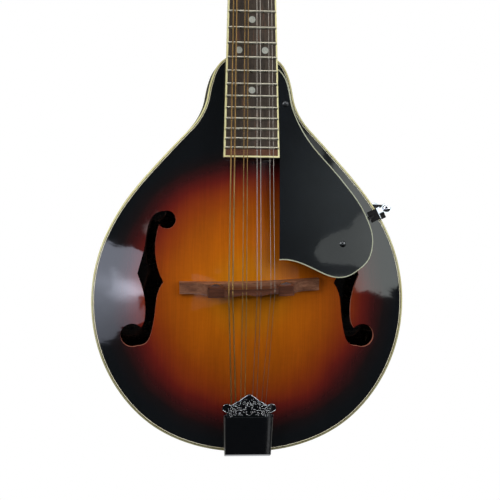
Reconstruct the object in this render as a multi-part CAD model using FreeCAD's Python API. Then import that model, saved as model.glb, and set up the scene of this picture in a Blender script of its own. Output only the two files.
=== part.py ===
"""Arched-top A-style mandolin with f-holes, eight strings and open-gear tuners.

Millimetres. +X is the treble side, +Y the back, +Z up the neck. The origin is the middle of the strap
button's outer face, which is the instrument's lowest point. Half the depth of the ribs is in front of Y = 0.
"""

import FreeCAD
import Part
import bisect
import math
import os

from FreeCAD import Vector

# ---- driving dimensions ----
SCALE_LENGTH = 352.4
JOINT_FRET = 12
FRET_COUNT = 20

BODY_LENGTH = 288.0
RIB_DEPTH = 38.0
RIB_THICKNESS = 2.2
BUTTON_LENGTH = 6.5
PLATE_EDGE = 3.5
TOP_ARCH = 11.0
BACK_ARCH = 9.0
PLATE_MIDDLE = 4.2
BINDING_WIDTH = 1.1
BINDING_BELOW = 2.5
PURFLING_WIDTHS = (0.45, 0.4, 0.45)
PURFLING_DEPTH = 1.2

NECK_ANGLE = 4.5
BOARD_HEIGHT_AT_JOINT = 9.5
BOARD_THICKNESS = 6.0
BOARD_END = -72.0
NUT_HALF_WIDTH = 14.3
BOARD_END_HALF_WIDTH = 20.1
NUT_LENGTH = 4.8
FRET_WIDTH = 2.0
FRET_CROWN = 1.0

HEAD_ANGLE = 13.0
HEAD_THICKNESS = 14.0
OVERLAY_THICKNESS = 1.2

BRIDGE_Z = 122.4
BRIDGE_HALF_LENGTH = 50.8
BRIDGE_WIDTH = 8.5
BRIDGE_LEAN = 11.0
BRIDGE_SLANT = 1.8
WHEEL_SPACING = 50.8
STRING_HEIGHT_AT_BRIDGE = 27.0
STRING_HEIGHT_AT_NUT = 1.75

TAIL_ANGLE = 9.0

# ---- places worked out from them ----
FRONT = -RIB_DEPTH / 2
BACK = RIB_DEPTH / 2
TAIL = BUTTON_LENGTH
JOINT = TAIL + BODY_LENGTH
FAR = 400.0
X_AXIS = Vector(1, 0, 0)
Y_AXIS = Vector(0, 1, 0)
Z_AXIS = Vector(0, 0, 1)
NUT_FACE = SCALE_LENGTH * 2 ** (-JOINT_FRET / 12)
PURFLING_INNER = BINDING_WIDTH + sum(PURFLING_WIDTHS)

# half of the body's outline, (half width, height above the tail), from the tail round to the neck
HALF_OUTLINE = [
    (0, 0), (39.3, 5.3), (68.0, 18.6), (91.5, 41.2), (108.0, 72.0), (114.5, 111.4), (107.6, 150.9),
    (88.6, 186.1), (62.4, 217.1), (49.6, 230.8), (38.7, 243.1), (31.3, 260), (28.5, 273.3), (24.5, 282.4),
    (18.4, 288),
]
NECK_GAP = 18.4
ARCH_CENTRE = 118.0
ARCH_REACH = 0.93


# ---- small helpers ----
def box(x0, x1, y0, y1, z0, z1):
    return Part.makeBox(x1 - x0, y1 - y0, z1 - z0, Vector(x0, y0, z0))


def prism(points, y0, y1):
    """A solid with the (x, z) outline given, from y0 to y1."""
    wire = Part.makePolygon([Vector(x, y0, z) for x, z in [*points, points[0]]])
    return Part.Face(wire).extrude(Vector(0, y1 - y0, 0))


def rod(start, end, radius):
    along = end - start
    return Part.makeCylinder(radius, along.Length, start, along)


def spline(points, start=None, end=None):
    curve = Part.BSplineCurve()
    if start and end:
        curve.interpolate(Points=points, InitialTangent=start, FinalTangent=end)
    else:
        curve.interpolate(Points=points)
    return curve


def fused(shapes):
    shapes = list(shapes)
    if len(shapes) == 1:
        return shapes[0]
    return shapes[0].multiFuse(shapes[1:]).removeSplitter()


def group(shapes):
    return Part.makeCompound([s for shape in shapes for s in shape.Solids])


def mirrored(shape):
    return shape.mirror(Vector(0, 0, 0), X_AXIS)


def turned(shape, angle, place):
    """The shape turned about the X axis through its own origin, then moved to place."""
    copy = shape.copy()
    copy.rotate(Vector(0, 0, 0), X_AXIS, angle)
    copy.translate(place)
    return copy


def on_neck(shape):
    """From the neck's frame, whose origin is the fingerboard's face at the body joint, to the row frame."""
    return turned(shape, -NECK_ANGLE, NECK_ORIGIN)


def on_head(shape):
    """From the headstock's own frame, whose origin is its face at the nut, to the row frame."""
    return on_neck(turned(shape, -HEAD_ANGLE, HEAD_ORIGIN))


def on_tail(shape):
    """From the tailpiece's own frame, whose origin is its plate's corner over the tail, to the row frame."""
    return turned(shape, TAIL_ANGLE, TAIL_ORIGIN)


def on_bridge(shape):
    """From the bridge's own frame, whose origin is the top of the arch under it, to the row frame.

    The whole bridge leans a little towards the tail, and its treble end stands a little nearer the neck.
    """
    leaning = turned(shape, BRIDGE_LEAN, Vector(0, 0, 0))
    leaning.rotate(Vector(0, 0, 0), Y_AXIS, -BRIDGE_SLANT)
    leaning.translate(BRIDGE_ORIGIN)
    return leaning


def point_on_bridge(point):
    return on_bridge(Part.Vertex(point)).Point


def point_on_neck(point):
    return on_neck(Part.Vertex(point)).Point


def point_on_head(point):
    return on_head(Part.Vertex(point)).Point


NECK_ORIGIN = Vector(0, FRONT - PLATE_EDGE - BOARD_HEIGHT_AT_JOINT, JOINT)
HEAD_ORIGIN = Vector(0, BOARD_THICKNESS - OVERLAY_THICKNESS, NUT_FACE + NUT_LENGTH)
TAIL_ORIGIN = Vector(0, FRONT - PLATE_EDGE - 2.2, TAIL)
BRIDGE_ORIGIN = Vector(0, FRONT - PLATE_EDGE - TOP_ARCH, TAIL + BRIDGE_Z)


# ---- the body's outline and arching ----
def half_curve():
    points = [Vector(x, 0, z + TAIL) for x, z in HALF_OUTLINE]
    return spline(points, Vector(60, 0, 0), Vector(-14, 0, 6))


HALF_CURVE = half_curve()
OUTLINE_STEPS = 44


def inset_points(inset, steps=OUTLINE_STEPS):
    """Points on the right half of the outline, moved in by inset, from the tail to the neck."""
    first, last = HALF_CURVE.FirstParameter, HALF_CURVE.LastParameter
    points = []
    for n in range(steps + 1):
        at = first + (last - first) * n / steps
        point = HALF_CURVE.value(at)
        along = HALF_CURVE.tangent(at)[0]
        inward = Vector(-along.z, 0, along.x)
        points.append(point + inward * inset)
    points[0].x = 0
    return points


def body_prism(inset, y0, y1):
    """The body's outline moved in by inset, as a solid from y0 to y1."""
    right = inset_points(inset)
    left = [Vector(-p.x, 0, p.z) for p in reversed(right)]
    side = spline(left[:-1] + right).toShape()
    across = Part.makeLine(right[-1], left[0])
    face = Part.Face(Part.Wire([side, across]))
    face.translate(Vector(0, y0, 0))
    return face.extrude(Vector(0, y1 - y0, 0))


def ring(outer, inner, y0, y1):
    return body_prism(outer, y0, y1).cut(body_prism(inner, y0 - 1, y1 + 1))


def rays():
    """(angle from straight up, distance) of the outline, seen from the middle of the arching."""
    centre = TAIL + ARCH_CENTRE
    seen = [(math.atan2(p.x, p.z - centre), math.hypot(p.x, p.z - centre)) for p in inset_points(0, 400)]
    top = [(math.atan2(x, JOINT - centre), math.hypot(x, JOINT - centre)) for x in (0, 6, 12, 17)]
    return sorted(seen + top)


RAYS = rays()
RAY_ANGLES = [angle for angle, _ in RAYS]


def rho(x, z):
    """0 at the middle of the arching and 1 on the outline."""
    up = z - TAIL - ARCH_CENTRE
    angle = min(math.atan2(abs(x), up), RAY_ANGLES[-1])
    n = min(max(bisect.bisect(RAY_ANGLES, angle), 1), len(RAYS) - 1)
    (a0, r0), (a1, r1) = RAYS[n - 1], RAYS[n]
    share = (angle - a0) / (a1 - a0) if a1 > a0 else 0
    return math.hypot(x, up) / (r0 + (r1 - r0) * share)


def arching(x, z):
    """Share of the full arch height at this place, from 1 in the middle to 0 at the recurve by the edge."""
    return 0.5 + 0.5 * math.cos(math.pi * min(1.0, rho(x, z) / ARCH_REACH))


def front_outer(x, z):
    return FRONT - PLATE_EDGE - TOP_ARCH * arching(x, z)


def front_inner(x, z):
    return front_outer(x, z) + PLATE_MIDDLE - 0.7 * rho(x, z) ** 2


def back_outer(x, z):
    return BACK + PLATE_EDGE + BACK_ARCH * arching(x, z)


def back_inner(x, z):
    return back_outer(x, z) - PLATE_MIDDLE + 0.7 * rho(x, z) ** 2


def behind(height, thickness):
    """The space from the surface y = height(x, z) on along Y by thickness, over the whole body."""
    half, step = 126, 9.0
    columns = int(2 * half / step)
    rows = int((BODY_LENGTH + 36) / step)
    grid = []
    for i in range(columns + 1):
        x = -half + 2 * half * i / columns
        line = []
        for j in range(rows + 1):
            z = TAIL - 18 + (BODY_LENGTH + 36) * j / rows
            line.append(Vector(x, height(x, z), z))
        grid.append(line)
    surface = Part.BSplineSurface()
    surface.interpolate(grid)
    return surface.toShape().extrude(Vector(0, thickness, 0))


BEHIND_FRONT_OUTER = behind(front_outer, 60)
BEHIND_FRONT_INNER = behind(front_inner, 60)


# ---- soundbox ----
def f_hole_edges():
    """The bass f-hole: two round eyes joined by a stem with a notch on each side."""
    def at(x, z):
        return Vector(x, 0, z + TAIL)

    def on_circle(centre, radius, degrees):
        angle = math.radians(degrees)
        return centre + Vector(math.cos(angle), 0, math.sin(angle)) * radius

    upper, upper_radius = at(-60.2, 170.6), 6.6
    lower, lower_radius = at(-84.7, 86.2), 8.5
    upper_in, upper_top = on_circle(upper, upper_radius, 214), on_circle(upper, upper_radius, 108)
    lower_in, lower_bottom = on_circle(lower, lower_radius, 42), on_circle(lower, lower_radius, -66)
    outer_notch, inner_notch = at(-81.3, 131.2), at(-62.3, 125.1)
    eye = Part.Arc(upper_in, on_circle(upper, upper_radius, -20), upper_top).toShape()
    above_notch = [at(-69.2, 174.2), at(-74.6, 162), at(-76, 151.5), at(-78.3, 142)]
    outer = spline([upper_top, *above_notch, outer_notch])
    below_notch = [at(-78.6, 124), at(-75.9, 113), at(-75.3, 103.4), at(-76.3, 95.8)]
    outer_low = spline([outer_notch, *below_notch, lower_in])
    lower_eye = Part.Arc(lower_in, on_circle(lower, lower_radius, 160), lower_bottom).toShape()
    below_notch = [at(-74.1, 81.1), at(-70.5, 89.7), at(-68, 105.9), at(-66.5, 116.5)]
    inner_low = spline([lower_bottom, *below_notch, inner_notch])
    above_notch = [at(-66, 133.6), at(-68.2, 144.6), at(-68.4, 153), at(-67.2, 161)]
    inner = spline([inner_notch, *above_notch, upper_in])
    return [eye, outer.toShape(), outer_low.toShape(), lower_eye, inner_low.toShape(), inner.toShape()]


def f_hole(y0, y1):
    face = Part.Face(Part.Wire(f_hole_edges()))
    face.translate(Vector(0, y0, 0))
    return face.extrude(Vector(0, y1 - y0, 0))


def plate_blank(y0, y1):
    """The outline inside the binding, carried out to the neck joint where the binding stops."""
    tongue = box(-NECK_GAP, NECK_GAP, y0, y1, JOINT - 12, JOINT)
    return body_prism(BINDING_WIDTH, y0, y1).fuse(tongue).removeSplitter()


def neck_gap(y0, y1):
    """The width of the heel at the neck joint, where binding, purfling and ribs all stop."""
    return box(-NECK_GAP, NECK_GAP, y0, y1, JOINT - 12, JOINT + 5)


def top_plate():
    plate = plate_blank(FRONT - 30, FRONT).common(BEHIND_FRONT_OUTER).cut(BEHIND_FRONT_INNER)
    y0, y1 = FRONT - PLATE_EDGE - 2, FRONT - PLATE_EDGE + PURFLING_DEPTH
    ledge = ring(BINDING_WIDTH - 1, PURFLING_INNER, y0, y1).cut(neck_gap(y0 - 1, y1 + 1))
    hole = f_hole(FRONT - 30, FRONT + 5)
    return plate.cut(ledge).cut(hole).cut(mirrored(hole))


def top_purfling():
    """Thin black, white and black lines let into the top inside the binding."""
    rings = []
    outer = BINDING_WIDTH
    for width in PURFLING_WIDTHS:
        line = ring(outer, outer + width, FRONT - PLATE_EDGE, FRONT - PLATE_EDGE + PURFLING_DEPTH)
        rings.append(line.cut(neck_gap(FRONT - 20, FRONT)))
        outer += width
    return group(rings)


def back_plate():
    return plate_blank(BACK, BACK + 30).cut(behind(back_outer, 60)).common(behind(back_inner, 60))


def binding(y0, y1):
    strip = ring(0, BINDING_WIDTH, y0, y1)
    return strip.cut(neck_gap(y0 - 1, y1 + 1))


def ribs():
    """Both bent sides, rebated for the bindings, from the tail seam to the neck joint."""
    wood = ring(0, RIB_THICKNESS, FRONT, BACK)
    for y0, y1 in ((FRONT, FRONT + BINDING_BELOW), (BACK - BINDING_BELOW, BACK)):
        wood = wood.cut(ring(-1, BINDING_WIDTH, y0, y1))
    wood = wood.cut(neck_gap(FRONT - 1, BACK + 1))
    return wood.cut(button_shank(BUTTON_SHANK_RADIUS)).cut(group(tail_screw_shanks()))


NECK_BLOCK_LENGTH = 34.0
TAIL_BLOCK_LENGTH = 18.0


def neck_block():
    inside = body_prism(RIB_THICKNESS, FRONT, BACK)
    block = inside.common(box(-26, 26, FRONT, BACK, JOINT - NECK_BLOCK_LENGTH, JOINT))
    throat = box(-NECK_GAP, NECK_GAP, FRONT, BACK, JOINT - 12, JOINT)
    return block.fuse(throat).removeSplitter()


def tail_block():
    inside = body_prism(RIB_THICKNESS, FRONT, BACK)
    block = inside.common(box(-28, 28, FRONT, BACK, TAIL, TAIL + TAIL_BLOCK_LENGTH))
    return block.cut(button_shank(BUTTON_SHANK_RADIUS)).cut(group(tail_screw_shanks()))


def lining(y0, y1):
    """The strip glued round inside the ribs that a plate is glued to, kerfed so that it bends."""
    strip = ring(RIB_THICKNESS, RIB_THICKNESS + 5, y0, y1)
    strip = strip.cut(box(-26, 26, y0 - 1, y1 + 1, JOINT - NECK_BLOCK_LENGTH, JOINT + 5))
    return strip.cut(box(-28, 28, y0 - 1, y1 + 1, TAIL - 1, TAIL + TAIL_BLOCK_LENGTH))


def tone_bars():
    blank = box(-2.5, 2.5, FRONT - 30, FRONT + 4, TAIL + 62, TAIL + 232)
    blank.rotate(Vector(0, 0, TAIL + 147), Y_AXIS, 3)
    blank.translate(Vector(-24, 0, 0))
    under = behind(lambda x, z: front_inner(x, z) + 8 * math.sin(math.pi * bar_share(z)) ** 0.5, 60)
    bar = blank.common(BEHIND_FRONT_INNER).cut(under)
    return group([bar, mirrored(bar)])


def bar_share(z):
    """0 and 1 at the tone bars' ends, kept off both so that the ends stay a little thick."""
    return min(0.97, max(0.03, (z - TAIL - 62) / 170))


# ---- neck, fingerboard and headstock ----
def board_half_width(z):
    slope = (BOARD_END_HALF_WIDTH - NUT_HALF_WIDTH) / (NUT_FACE - BOARD_END)
    return NUT_HALF_WIDTH + slope * (NUT_FACE - z)


def board_prism(inset, y0, y1, z0, z1):
    low, high = board_half_width(z0) - inset, board_half_width(z1) - inset
    return prism([(-low, z0), (low, z0), (high, z1), (-high, z1)], y0, y1)


def fret_places():
    """Each fret's place along the neck from the joint."""
    return [SCALE_LENGTH * 2 ** (-n / 12) - NUT_FACE for n in range(1, FRET_COUNT + 1)]


def frets():
    wires = []
    for place in fret_places():
        half = board_half_width(place) - 0.7
        radius = (FRET_WIDTH ** 2 / 4 + FRET_CROWN ** 2) / (2 * FRET_CROWN)
        crown = Part.makeCylinder(radius, 2 * half, Vector(-half, radius - FRET_CROWN, place), X_AXIS)
        crown = crown.common(box(-half, half, -FRET_CROWN - 1, 0, place - 2, place + 2))
        tang_half = half - BINDING_WIDTH - 0.2
        tang = box(-tang_half, tang_half, 0, 1.5, place - 0.25, place + 0.25)
        wires.append(crown.fuse(tang).removeSplitter())
    return group(wires)


DOT_RADIUS = 2.4
DOUBLE_DOT_X = 9.4


def dot_places():
    """(x, place along the neck) of each pearl dot, in the middle of its fret space."""
    places = [0.0] + fret_places()
    nut_first = [NUT_FACE] + places[1:]
    dots = []
    for fret in (3, 5, 7, 10, 12, 15):
        middle = (nut_first[fret - 1] + nut_first[fret]) / 2
        offsets = (-DOUBLE_DOT_X, DOUBLE_DOT_X) if fret == JOINT_FRET else (0.0,)
        dots += [(x, middle) for x in offsets]
    return dots


def position_dots():
    return group(Part.makeCylinder(DOT_RADIUS, 1, Vector(x, 0, z), Y_AXIS) for x, z in dot_places())


def side_dots():
    """Small dots on the bass edge of the fingerboard's binding."""
    dots = []
    for x, z in dot_places():
        shift = 2.2 if x > 0 else -2.2 if x < 0 else 0
        half = board_half_width(z + shift)
        dots.append(Part.makeCylinder(0.9, 0.8, Vector(-half, 2.6, z + shift), X_AXIS))
    return group(dots)


def fingerboard():
    wood = board_prism(BINDING_WIDTH, 0, BOARD_THICKNESS, BOARD_END + BINDING_WIDTH, NUT_FACE)
    return wood.cut(frets()).cut(position_dots())


def fingerboard_binding():
    strip = board_prism(0, 0, BOARD_THICKNESS, BOARD_END, NUT_FACE)
    inside = board_prism(BINDING_WIDTH, -1, BOARD_THICKNESS + 1, BOARD_END + BINDING_WIDTH, NUT_FACE + 1)
    strip = strip.cut(inside)
    return strip.cut(side_dots())


HEEL_DEPTH = -NECK_ORIGIN.y + BACK
HEEL_LENGTH = 48.0
HEEL_FOOT = 18.0


def shaft_depth(z):
    """From the fingerboard's face to the back of the neck, with the heel's sweep near the body."""
    plain = 21.9 - 0.014 * z
    share = min(1.0, max(0.0, z / HEEL_LENGTH))
    return plain + (HEEL_DEPTH - plain) * ((1 - share) / (1 - HEEL_FOOT / HEEL_LENGTH)) ** 1.8


def shaft_taper(z):
    """How much narrower the neck is at its deepest: a little along the shaft and more at the heel's foot."""
    return 0.03 + 0.3 * max(0.0, 1 - max(0.0, z) / HEEL_LENGTH) ** 2


def neck_shaft():
    """Heel and shaft behind the fingerboard, as one smooth surface closed at the fingerboard's underside."""
    around, along = 16, 34
    end = NUT_FACE + NUT_LENGTH
    grid = []
    for i in range(around + 1):
        angle = math.pi * i / around
        line = []
        for j in range(along + 1):
            z = -8 + (end + 8) * (j / along) ** 1.35
            wide = board_half_width(z) * math.cos(angle) * (1 - shaft_taper(z) * math.sin(angle))
            deep = (shaft_depth(z) - BOARD_THICKNESS) * math.sin(angle) ** 0.9 if 0 < i < around else 0
            line.append(Vector(wide, BOARD_THICKNESS + deep, z))
        grid.append(line)
    surface = Part.BSplineSurface()
    surface.interpolate(grid)
    back = surface.toShape()
    faces = [back]
    for level in (-8, end):
        level_edges = [e for e in back.Edges if e.BoundBox.ZLength < 0.01]
        edge = next(e for e in level_edges if abs(e.BoundBox.ZMin - level) < 0.01)
        ends = [v.Point for v in edge.Vertexes]
        faces.append(Part.Face(Part.Wire([edge, Part.makeLine(ends[1], ends[0])])))
    sides = [(grid[0][0], grid[0][-1]), (grid[-1][-1], grid[-1][0])]
    corners = [sides[0][0], sides[0][1], sides[1][0], sides[1][1], sides[0][0]]
    faces.append(Part.Face(Part.makePolygon(corners)))
    shell = Part.Shell(faces)
    shell.sewShape()
    return Part.Solid(shell)


HEAD_SIDE = [(14.3, -1), (15.6, 5), (21, 14), (26.5, 26), (28.6, 42), (31, 90), (33.4, 122)]
HEAD_CREST = [(33.4, 122), (29, 130), (20, 133.5), (9, 137), (0, 142)]


def head_blank(y0, y1, inset=0.0):
    """The headstock's outline, a flared paddle with a low pointed crest, from y0 to y1."""
    side = [Vector(x - inset, y0, z) for x, z in HEAD_SIDE]
    side[-1].z -= inset
    crest = [Vector(x, y0, z - inset) for x, z in HEAD_CREST]
    crest[0] = side[-1]
    edges = []
    for points in (side, crest):
        edges.append(spline(points).toShape())
        edges.append(spline([Vector(-p.x, p.y, p.z) for p in points]).toShape())
    edges.append(Part.makeLine(side[0], Vector(-side[0].x, y0, side[0].z)))
    wire = Part.Wire(Part.__sortEdges__(edges))
    return Part.Face(wire).extrude(Vector(0, y1 - y0, 0))


POST_X = 17.0
POST_FIRST = 40.0
POST_SPACING = 23.0
BUSHING_HOLE = 3.9
COVER_OUTLINE = [(-9.5, 3), (9.5, 3), (8, 12), (4.5, 20), (2.2, 29), (-2.2, 29), (-4.5, 20), (-8, 12)]
COVER_SCREWS = [(-7.2, 5.4), (7.2, 5.4), (0, 25.4)]
SMALL_SCREW = 0.9


def post_places():
    """(string name, x, place up the headstock) of each string post, lowest pair nearest the nut."""
    places = []
    for side, names in ((-1, ("g1", "g2", "d1", "d2")), (1, ("e2", "e1", "a2", "a1"))):
        for n, name in enumerate(names):
            places.append((name, side * POST_X, POST_FIRST + n * POST_SPACING))
    return places


def fingerboard_riser():
    """Wedge of neck wood that holds the end of the fingerboard clear of the arched top."""
    wedge = on_neck(board_prism(3.5, BOARD_THICKNESS, 40, -40, 6))
    return wedge.cut(BEHIND_FRONT_OUTER).common(box(-60, 60, -FAR, FAR, 0, JOINT))


TRUSS_Y = BOARD_THICKNESS + 5
TRUSS_RADIUS = 2.4
TRUSS_END = NUT_FACE + 6


def truss_shaft():
    return rod(Vector(0, TRUSS_Y, 8), Vector(0, TRUSS_Y, TRUSS_END), TRUSS_RADIUS)


def truss_rod():
    """Steel rod let into the neck under the fingerboard, with its nut in the headstock's pocket."""
    nut = rod(Vector(0, TRUSS_Y, TRUSS_END), Vector(0, TRUSS_Y, TRUSS_END + 8), 3.0)
    socket = box(-1.3, 1.3, TRUSS_Y - 1.3, TRUSS_Y + 1.3, TRUSS_END + 3, TRUSS_END + 9)
    return truss_shaft().fuse(nut).cut(socket)


def neck():
    """Neck, heel and headstock, which are one piece of wood."""
    shaft = on_neck(neck_shaft())
    shaft = shaft.cut(box(-60, 60, -FAR, FAR, JOINT - 60, JOINT))
    head = on_head(head_blank(OVERLAY_THICKNESS, HEAD_THICKNESS))
    head = head.cut(on_neck(box(-40, 40, -60, BOARD_THICKNESS, 0, NUT_FACE + NUT_LENGTH + 3)))
    wood = shaft.fuse(head)
    slot = box(-TRUSS_RADIUS, TRUSS_RADIUS, BOARD_THICKNESS, TRUSS_Y, 8, TRUSS_END)
    wood = wood.cut(on_neck(truss_shaft())).cut(on_neck(slot)).cut(on_head(rod_pocket()))
    wood = wood.cut(box(-60, 60, BACK, FAR, JOINT - 1, JOINT + 40))
    holes = [post_hole(x, z) for _, x, z in post_places()] + headstock_screw_holes()
    return wood.cut(on_head(group(holes))).removeSplitter()


def rod_pocket():
    """The rout in the headstock's face for the truss rod nut, with a round far end."""
    near = box(-4.2, 4.2, -4, 10, -6, 15)
    return near.fuse(Part.makeCylinder(4.2, 14, Vector(0, -4, 15), Y_AXIS)).removeSplitter()


def post_hole(x, z):
    return Part.makeCylinder(BUSHING_HOLE, HEAD_THICKNESS + 4, Vector(x, -2, z), Y_AXIS)


def heel_cap():
    """The cap that finishes the foot of the heel, as thick as the back's edge."""
    shaft = on_neck(neck_shaft())
    return shaft.common(box(-60, 60, BACK, BACK + PLATE_EDGE, JOINT, JOINT + 30))


def headstock_overlay():
    face = head_blank(0, OVERLAY_THICKNESS)
    face = face.cut(box(-40, 40, -5, 5, -5, 0.6)).cut(rod_pocket())
    return face.cut(group([post_hole(x, z) for _, x, z in post_places()] + headstock_screw_holes()))


def headstock_screw_holes():
    """Pilot holes for the screws of the truss rod cover and of the tuner plates."""
    front = [Part.makeCylinder(SMALL_SCREW, 5, Vector(x, -1.6, z), Y_AXIS) for x, z in COVER_SCREWS]
    back = []
    for x, z in plate_screw_places():
        for side in (-1, 1):
            back.append(Part.makeCylinder(SMALL_SCREW, 6, Vector(side * x, PLATE_BACK - 6, z), Y_AXIS))
    return front + back


def truss_rod_cover():
    plate = prism(COVER_OUTLINE, -1.6, 0)
    holes = [Part.makeCylinder(1.0, 4, Vector(x, -3, z), Y_AXIS) for x, z in COVER_SCREWS]
    return plate.cut(group(holes))


def small_screw(radius, head, height, length):
    """A slotted round-head screw along +Y, its head's flat at y = 0."""
    dome = Part.makeSphere((head ** 2 + height ** 2) / (2 * height))
    dome.translate(Vector(0, (head ** 2 + height ** 2) / (2 * height) - height, 0))
    dome = dome.common(Part.makeCylinder(head, height, Vector(0, -height, 0), Y_AXIS))
    shank = Part.makeCylinder(radius, length, Vector(0, 0, 0), Y_AXIS)
    slot = box(-head, head, -height - 1, -height * 0.45, -0.22, 0.22)
    return dome.fuse(shank).cut(slot)


def moved(shape, x, y, z):
    copy = shape.copy()
    copy.translate(Vector(x, y, z))
    return copy


# ---- tuners, in the headstock's frame ----
PLATE_BACK = HEAD_THICKNESS + 1.2
WORM_Y = PLATE_BACK + 3.0
GEAR_TEETH = 15
GEAR_TIP = 5.45
GEAR_ROOT = 4.2
GEAR_THICKNESS = 2.6
WORM_CORE = 1.35
WORM_TIP = 2.5
WORM_PITCH = 2 * math.pi * 4.95 / GEAR_TEETH
WORM_DROP = GEAR_TIP + WORM_CORE + 0.15
POST_RADIUS = 3.0
WAIST_RADIUS = 2.6
POST_TOP = -12.0
STRING_HOLE_Y = -8.4
LUGS = ((8.6, 10.8), (23.6, 26.2))
BUTTON_AT = 39.0


def gear():
    """A spur wheel with trapezoid teeth, turned half a tooth so that a gap faces the worm."""
    pitch = 2 * math.pi / GEAR_TEETH
    points = []
    for n in range(GEAR_TEETH):
        middle = -math.pi / 2 + (n + 0.5) * pitch
        for radius, share in ((GEAR_ROOT, -0.24), (GEAR_TIP, -0.1), (GEAR_TIP, 0.1), (GEAR_ROOT, 0.24)):
            angle = middle + share * pitch
            points.append((radius * math.cos(angle), radius * math.sin(angle)))
    return prism(points, WORM_Y - GEAR_THICKNESS / 2, WORM_Y + GEAR_THICKNESS / 2)


def string_post():
    """Post, gear wheel and the screw that holds the wheel on."""
    low = WORM_Y - GEAR_THICKNESS / 2
    high = WORM_Y + GEAR_THICKNESS / 2
    profile = [
        (0, POST_TOP), (POST_RADIUS - 0.6, POST_TOP), (POST_RADIUS, POST_TOP + 0.6), (POST_RADIUS, -10.4),
        (WAIST_RADIUS, -9.6), (WAIST_RADIUS, -2.6), (POST_RADIUS, -1.8), (POST_RADIUS, PLATE_BACK + 0.1),
        (3.9, PLATE_BACK + 0.1), (3.9, low), (0, low),
    ]
    wire = Part.makePolygon([Vector(r, y, 0) for r, y in [*profile, profile[0]]])
    post = Part.Face(wire).revolve(Vector(0, 0, 0), Y_AXIS, 360)
    post = post.cut(rod(Vector(-6, STRING_HOLE_Y, 0), Vector(6, STRING_HOLE_Y, 0), 0.65))
    screw = Part.makeCylinder(2.1, 1.1, Vector(0, high, 0), Y_AXIS)
    screw = screw.cut(box(-3, 3, high + 0.5, high + 2, -0.3, 0.3))
    return fused([post, gear(), screw])


def worm():
    """A right-hand thread along +X, centred on the post's middle and level with it."""
    turns = 4
    length = turns * WORM_PITCH
    helix = Part.makeHelix(WORM_PITCH, length, WORM_CORE)
    tooth = Part.makePolygon([
        Vector(WORM_CORE - 0.15, 0, -0.5), Vector(WORM_TIP, 0, -0.25), Vector(WORM_TIP, 0, 0.25),
        Vector(WORM_CORE - 0.15, 0, 0.5), Vector(WORM_CORE - 0.15, 0, -0.5),
    ])
    thread = Part.Wire(helix.Edges).makePipeShell([tooth], True, True)
    thread.translate(Vector(0, 0, -length / 2))
    thread.rotate(Vector(0, 0, 0), Y_AXIS, -90)
    return thread


def button():
    """The flat oval grip on the end of a worm shaft, lying in the plane of the headstock."""
    grip = [
        Vector(0, 0, 2.2), Vector(3.2, 0, 4.6), Vector(7.4, 0, 6.2),
        Vector(11.4, 0, 4.4), Vector(12.8, 0, 0),
        Vector(11.4, 0, -4.4), Vector(7.4, 0, -6.2), Vector(3.2, 0, -4.6), Vector(0, 0, -2.2),
    ]
    outline = Part.Wire([spline(grip).toShape(), Part.makeLine(grip[-1], grip[0])])
    outline.translate(Vector(0, -2.4, 0))
    slab = Part.Face(outline).extrude(Vector(0, 4.8, 0))
    rims = [e for e in slab.Edges if e.BoundBox.YLength < 0.01 and e.Length > 12]
    return slab.makeFillet(1.5, rims)


def tuner_key():
    """Worm shaft with its button, along +X from the middle line, level with the worm's axis."""
    core = rod(Vector(7.9 - POST_X, 0, 0), Vector(27.2 - POST_X, 0, 0), WORM_CORE)
    stop = rod(Vector(7.2 - POST_X, 0, 0), Vector(8.5 - POST_X, 0, 0), 2.0)
    collar = rod(Vector(22.0 - POST_X, 0, 0), Vector(23.5 - POST_X, 0, 0), 2.2)
    stem = rod(Vector(26.3 - POST_X, 0, 0), Vector(BUTTON_AT - POST_X, 0, 0), 1.9)
    steel = fused([core, stop, collar, stem, worm()])
    grip = button()
    grip.translate(Vector(BUTTON_AT - POST_X, 0, 0))
    return group([steel, grip])


def tuner_plate():
    """The treble plate, with two lugs standing up at each worm as its bearings."""
    z0, z1 = POST_FIRST - 13, POST_FIRST + 3 * POST_SPACING + 9
    plate = box(6.6, 27.4, HEAD_THICKNESS, PLATE_BACK, z0 + 3, z1 - 3)
    plate = plate.fuse(box(9.6, 24.4, HEAD_THICKNESS, PLATE_BACK, z0, z1))
    for x, z in ((9.6, z0 + 3), (24.4, z0 + 3), (9.6, z1 - 3), (24.4, z1 - 3)):
        plate = plate.fuse(Part.makeCylinder(3, 1.2, Vector(x, HEAD_THICKNESS, z), Y_AXIS))
    places = [Vector(x, HEAD_THICKNESS - 1, z) for x, z in plate_screw_places()]
    cuts = [Part.makeCylinder(1.0, 5, place, Y_AXIS) for place in places]
    for n in range(4):
        z = POST_FIRST + n * POST_SPACING
        cuts.append(Part.makeCylinder(POST_RADIUS + 0.15, 5, Vector(POST_X, HEAD_THICKNESS - 1, z), Y_AXIS))
        level = z - WORM_DROP
        for x0, x1 in LUGS:
            plate = plate.fuse(box(x0, x1, PLATE_BACK - 0.6, WORM_Y, level - 2.6, level + 2.6))
            plate = plate.fuse(rod(Vector(x0, WORM_Y, level), Vector(x1, WORM_Y, level), 2.6))
        cuts.append(rod(Vector(8, WORM_Y, level), Vector(23.55, WORM_Y, level), WORM_CORE + 0.05))
        cuts.append(rod(Vector(23.5, WORM_Y, level), Vector(26.25, WORM_Y, level), WORM_CORE + 0.05))
    return plate.removeSplitter().cut(group(cuts))


def plate_screw_places():
    middle = [(POST_X, POST_FIRST + (n + 0.5) * POST_SPACING - 1.5) for n in range(3)]
    return [(POST_X + 4, POST_FIRST - 11.2), (POST_X, POST_FIRST + 3 * POST_SPACING + 7), *middle]


def tuner_plates():
    return group([tuner_plate(), mirrored(tuner_plate())])


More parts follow.
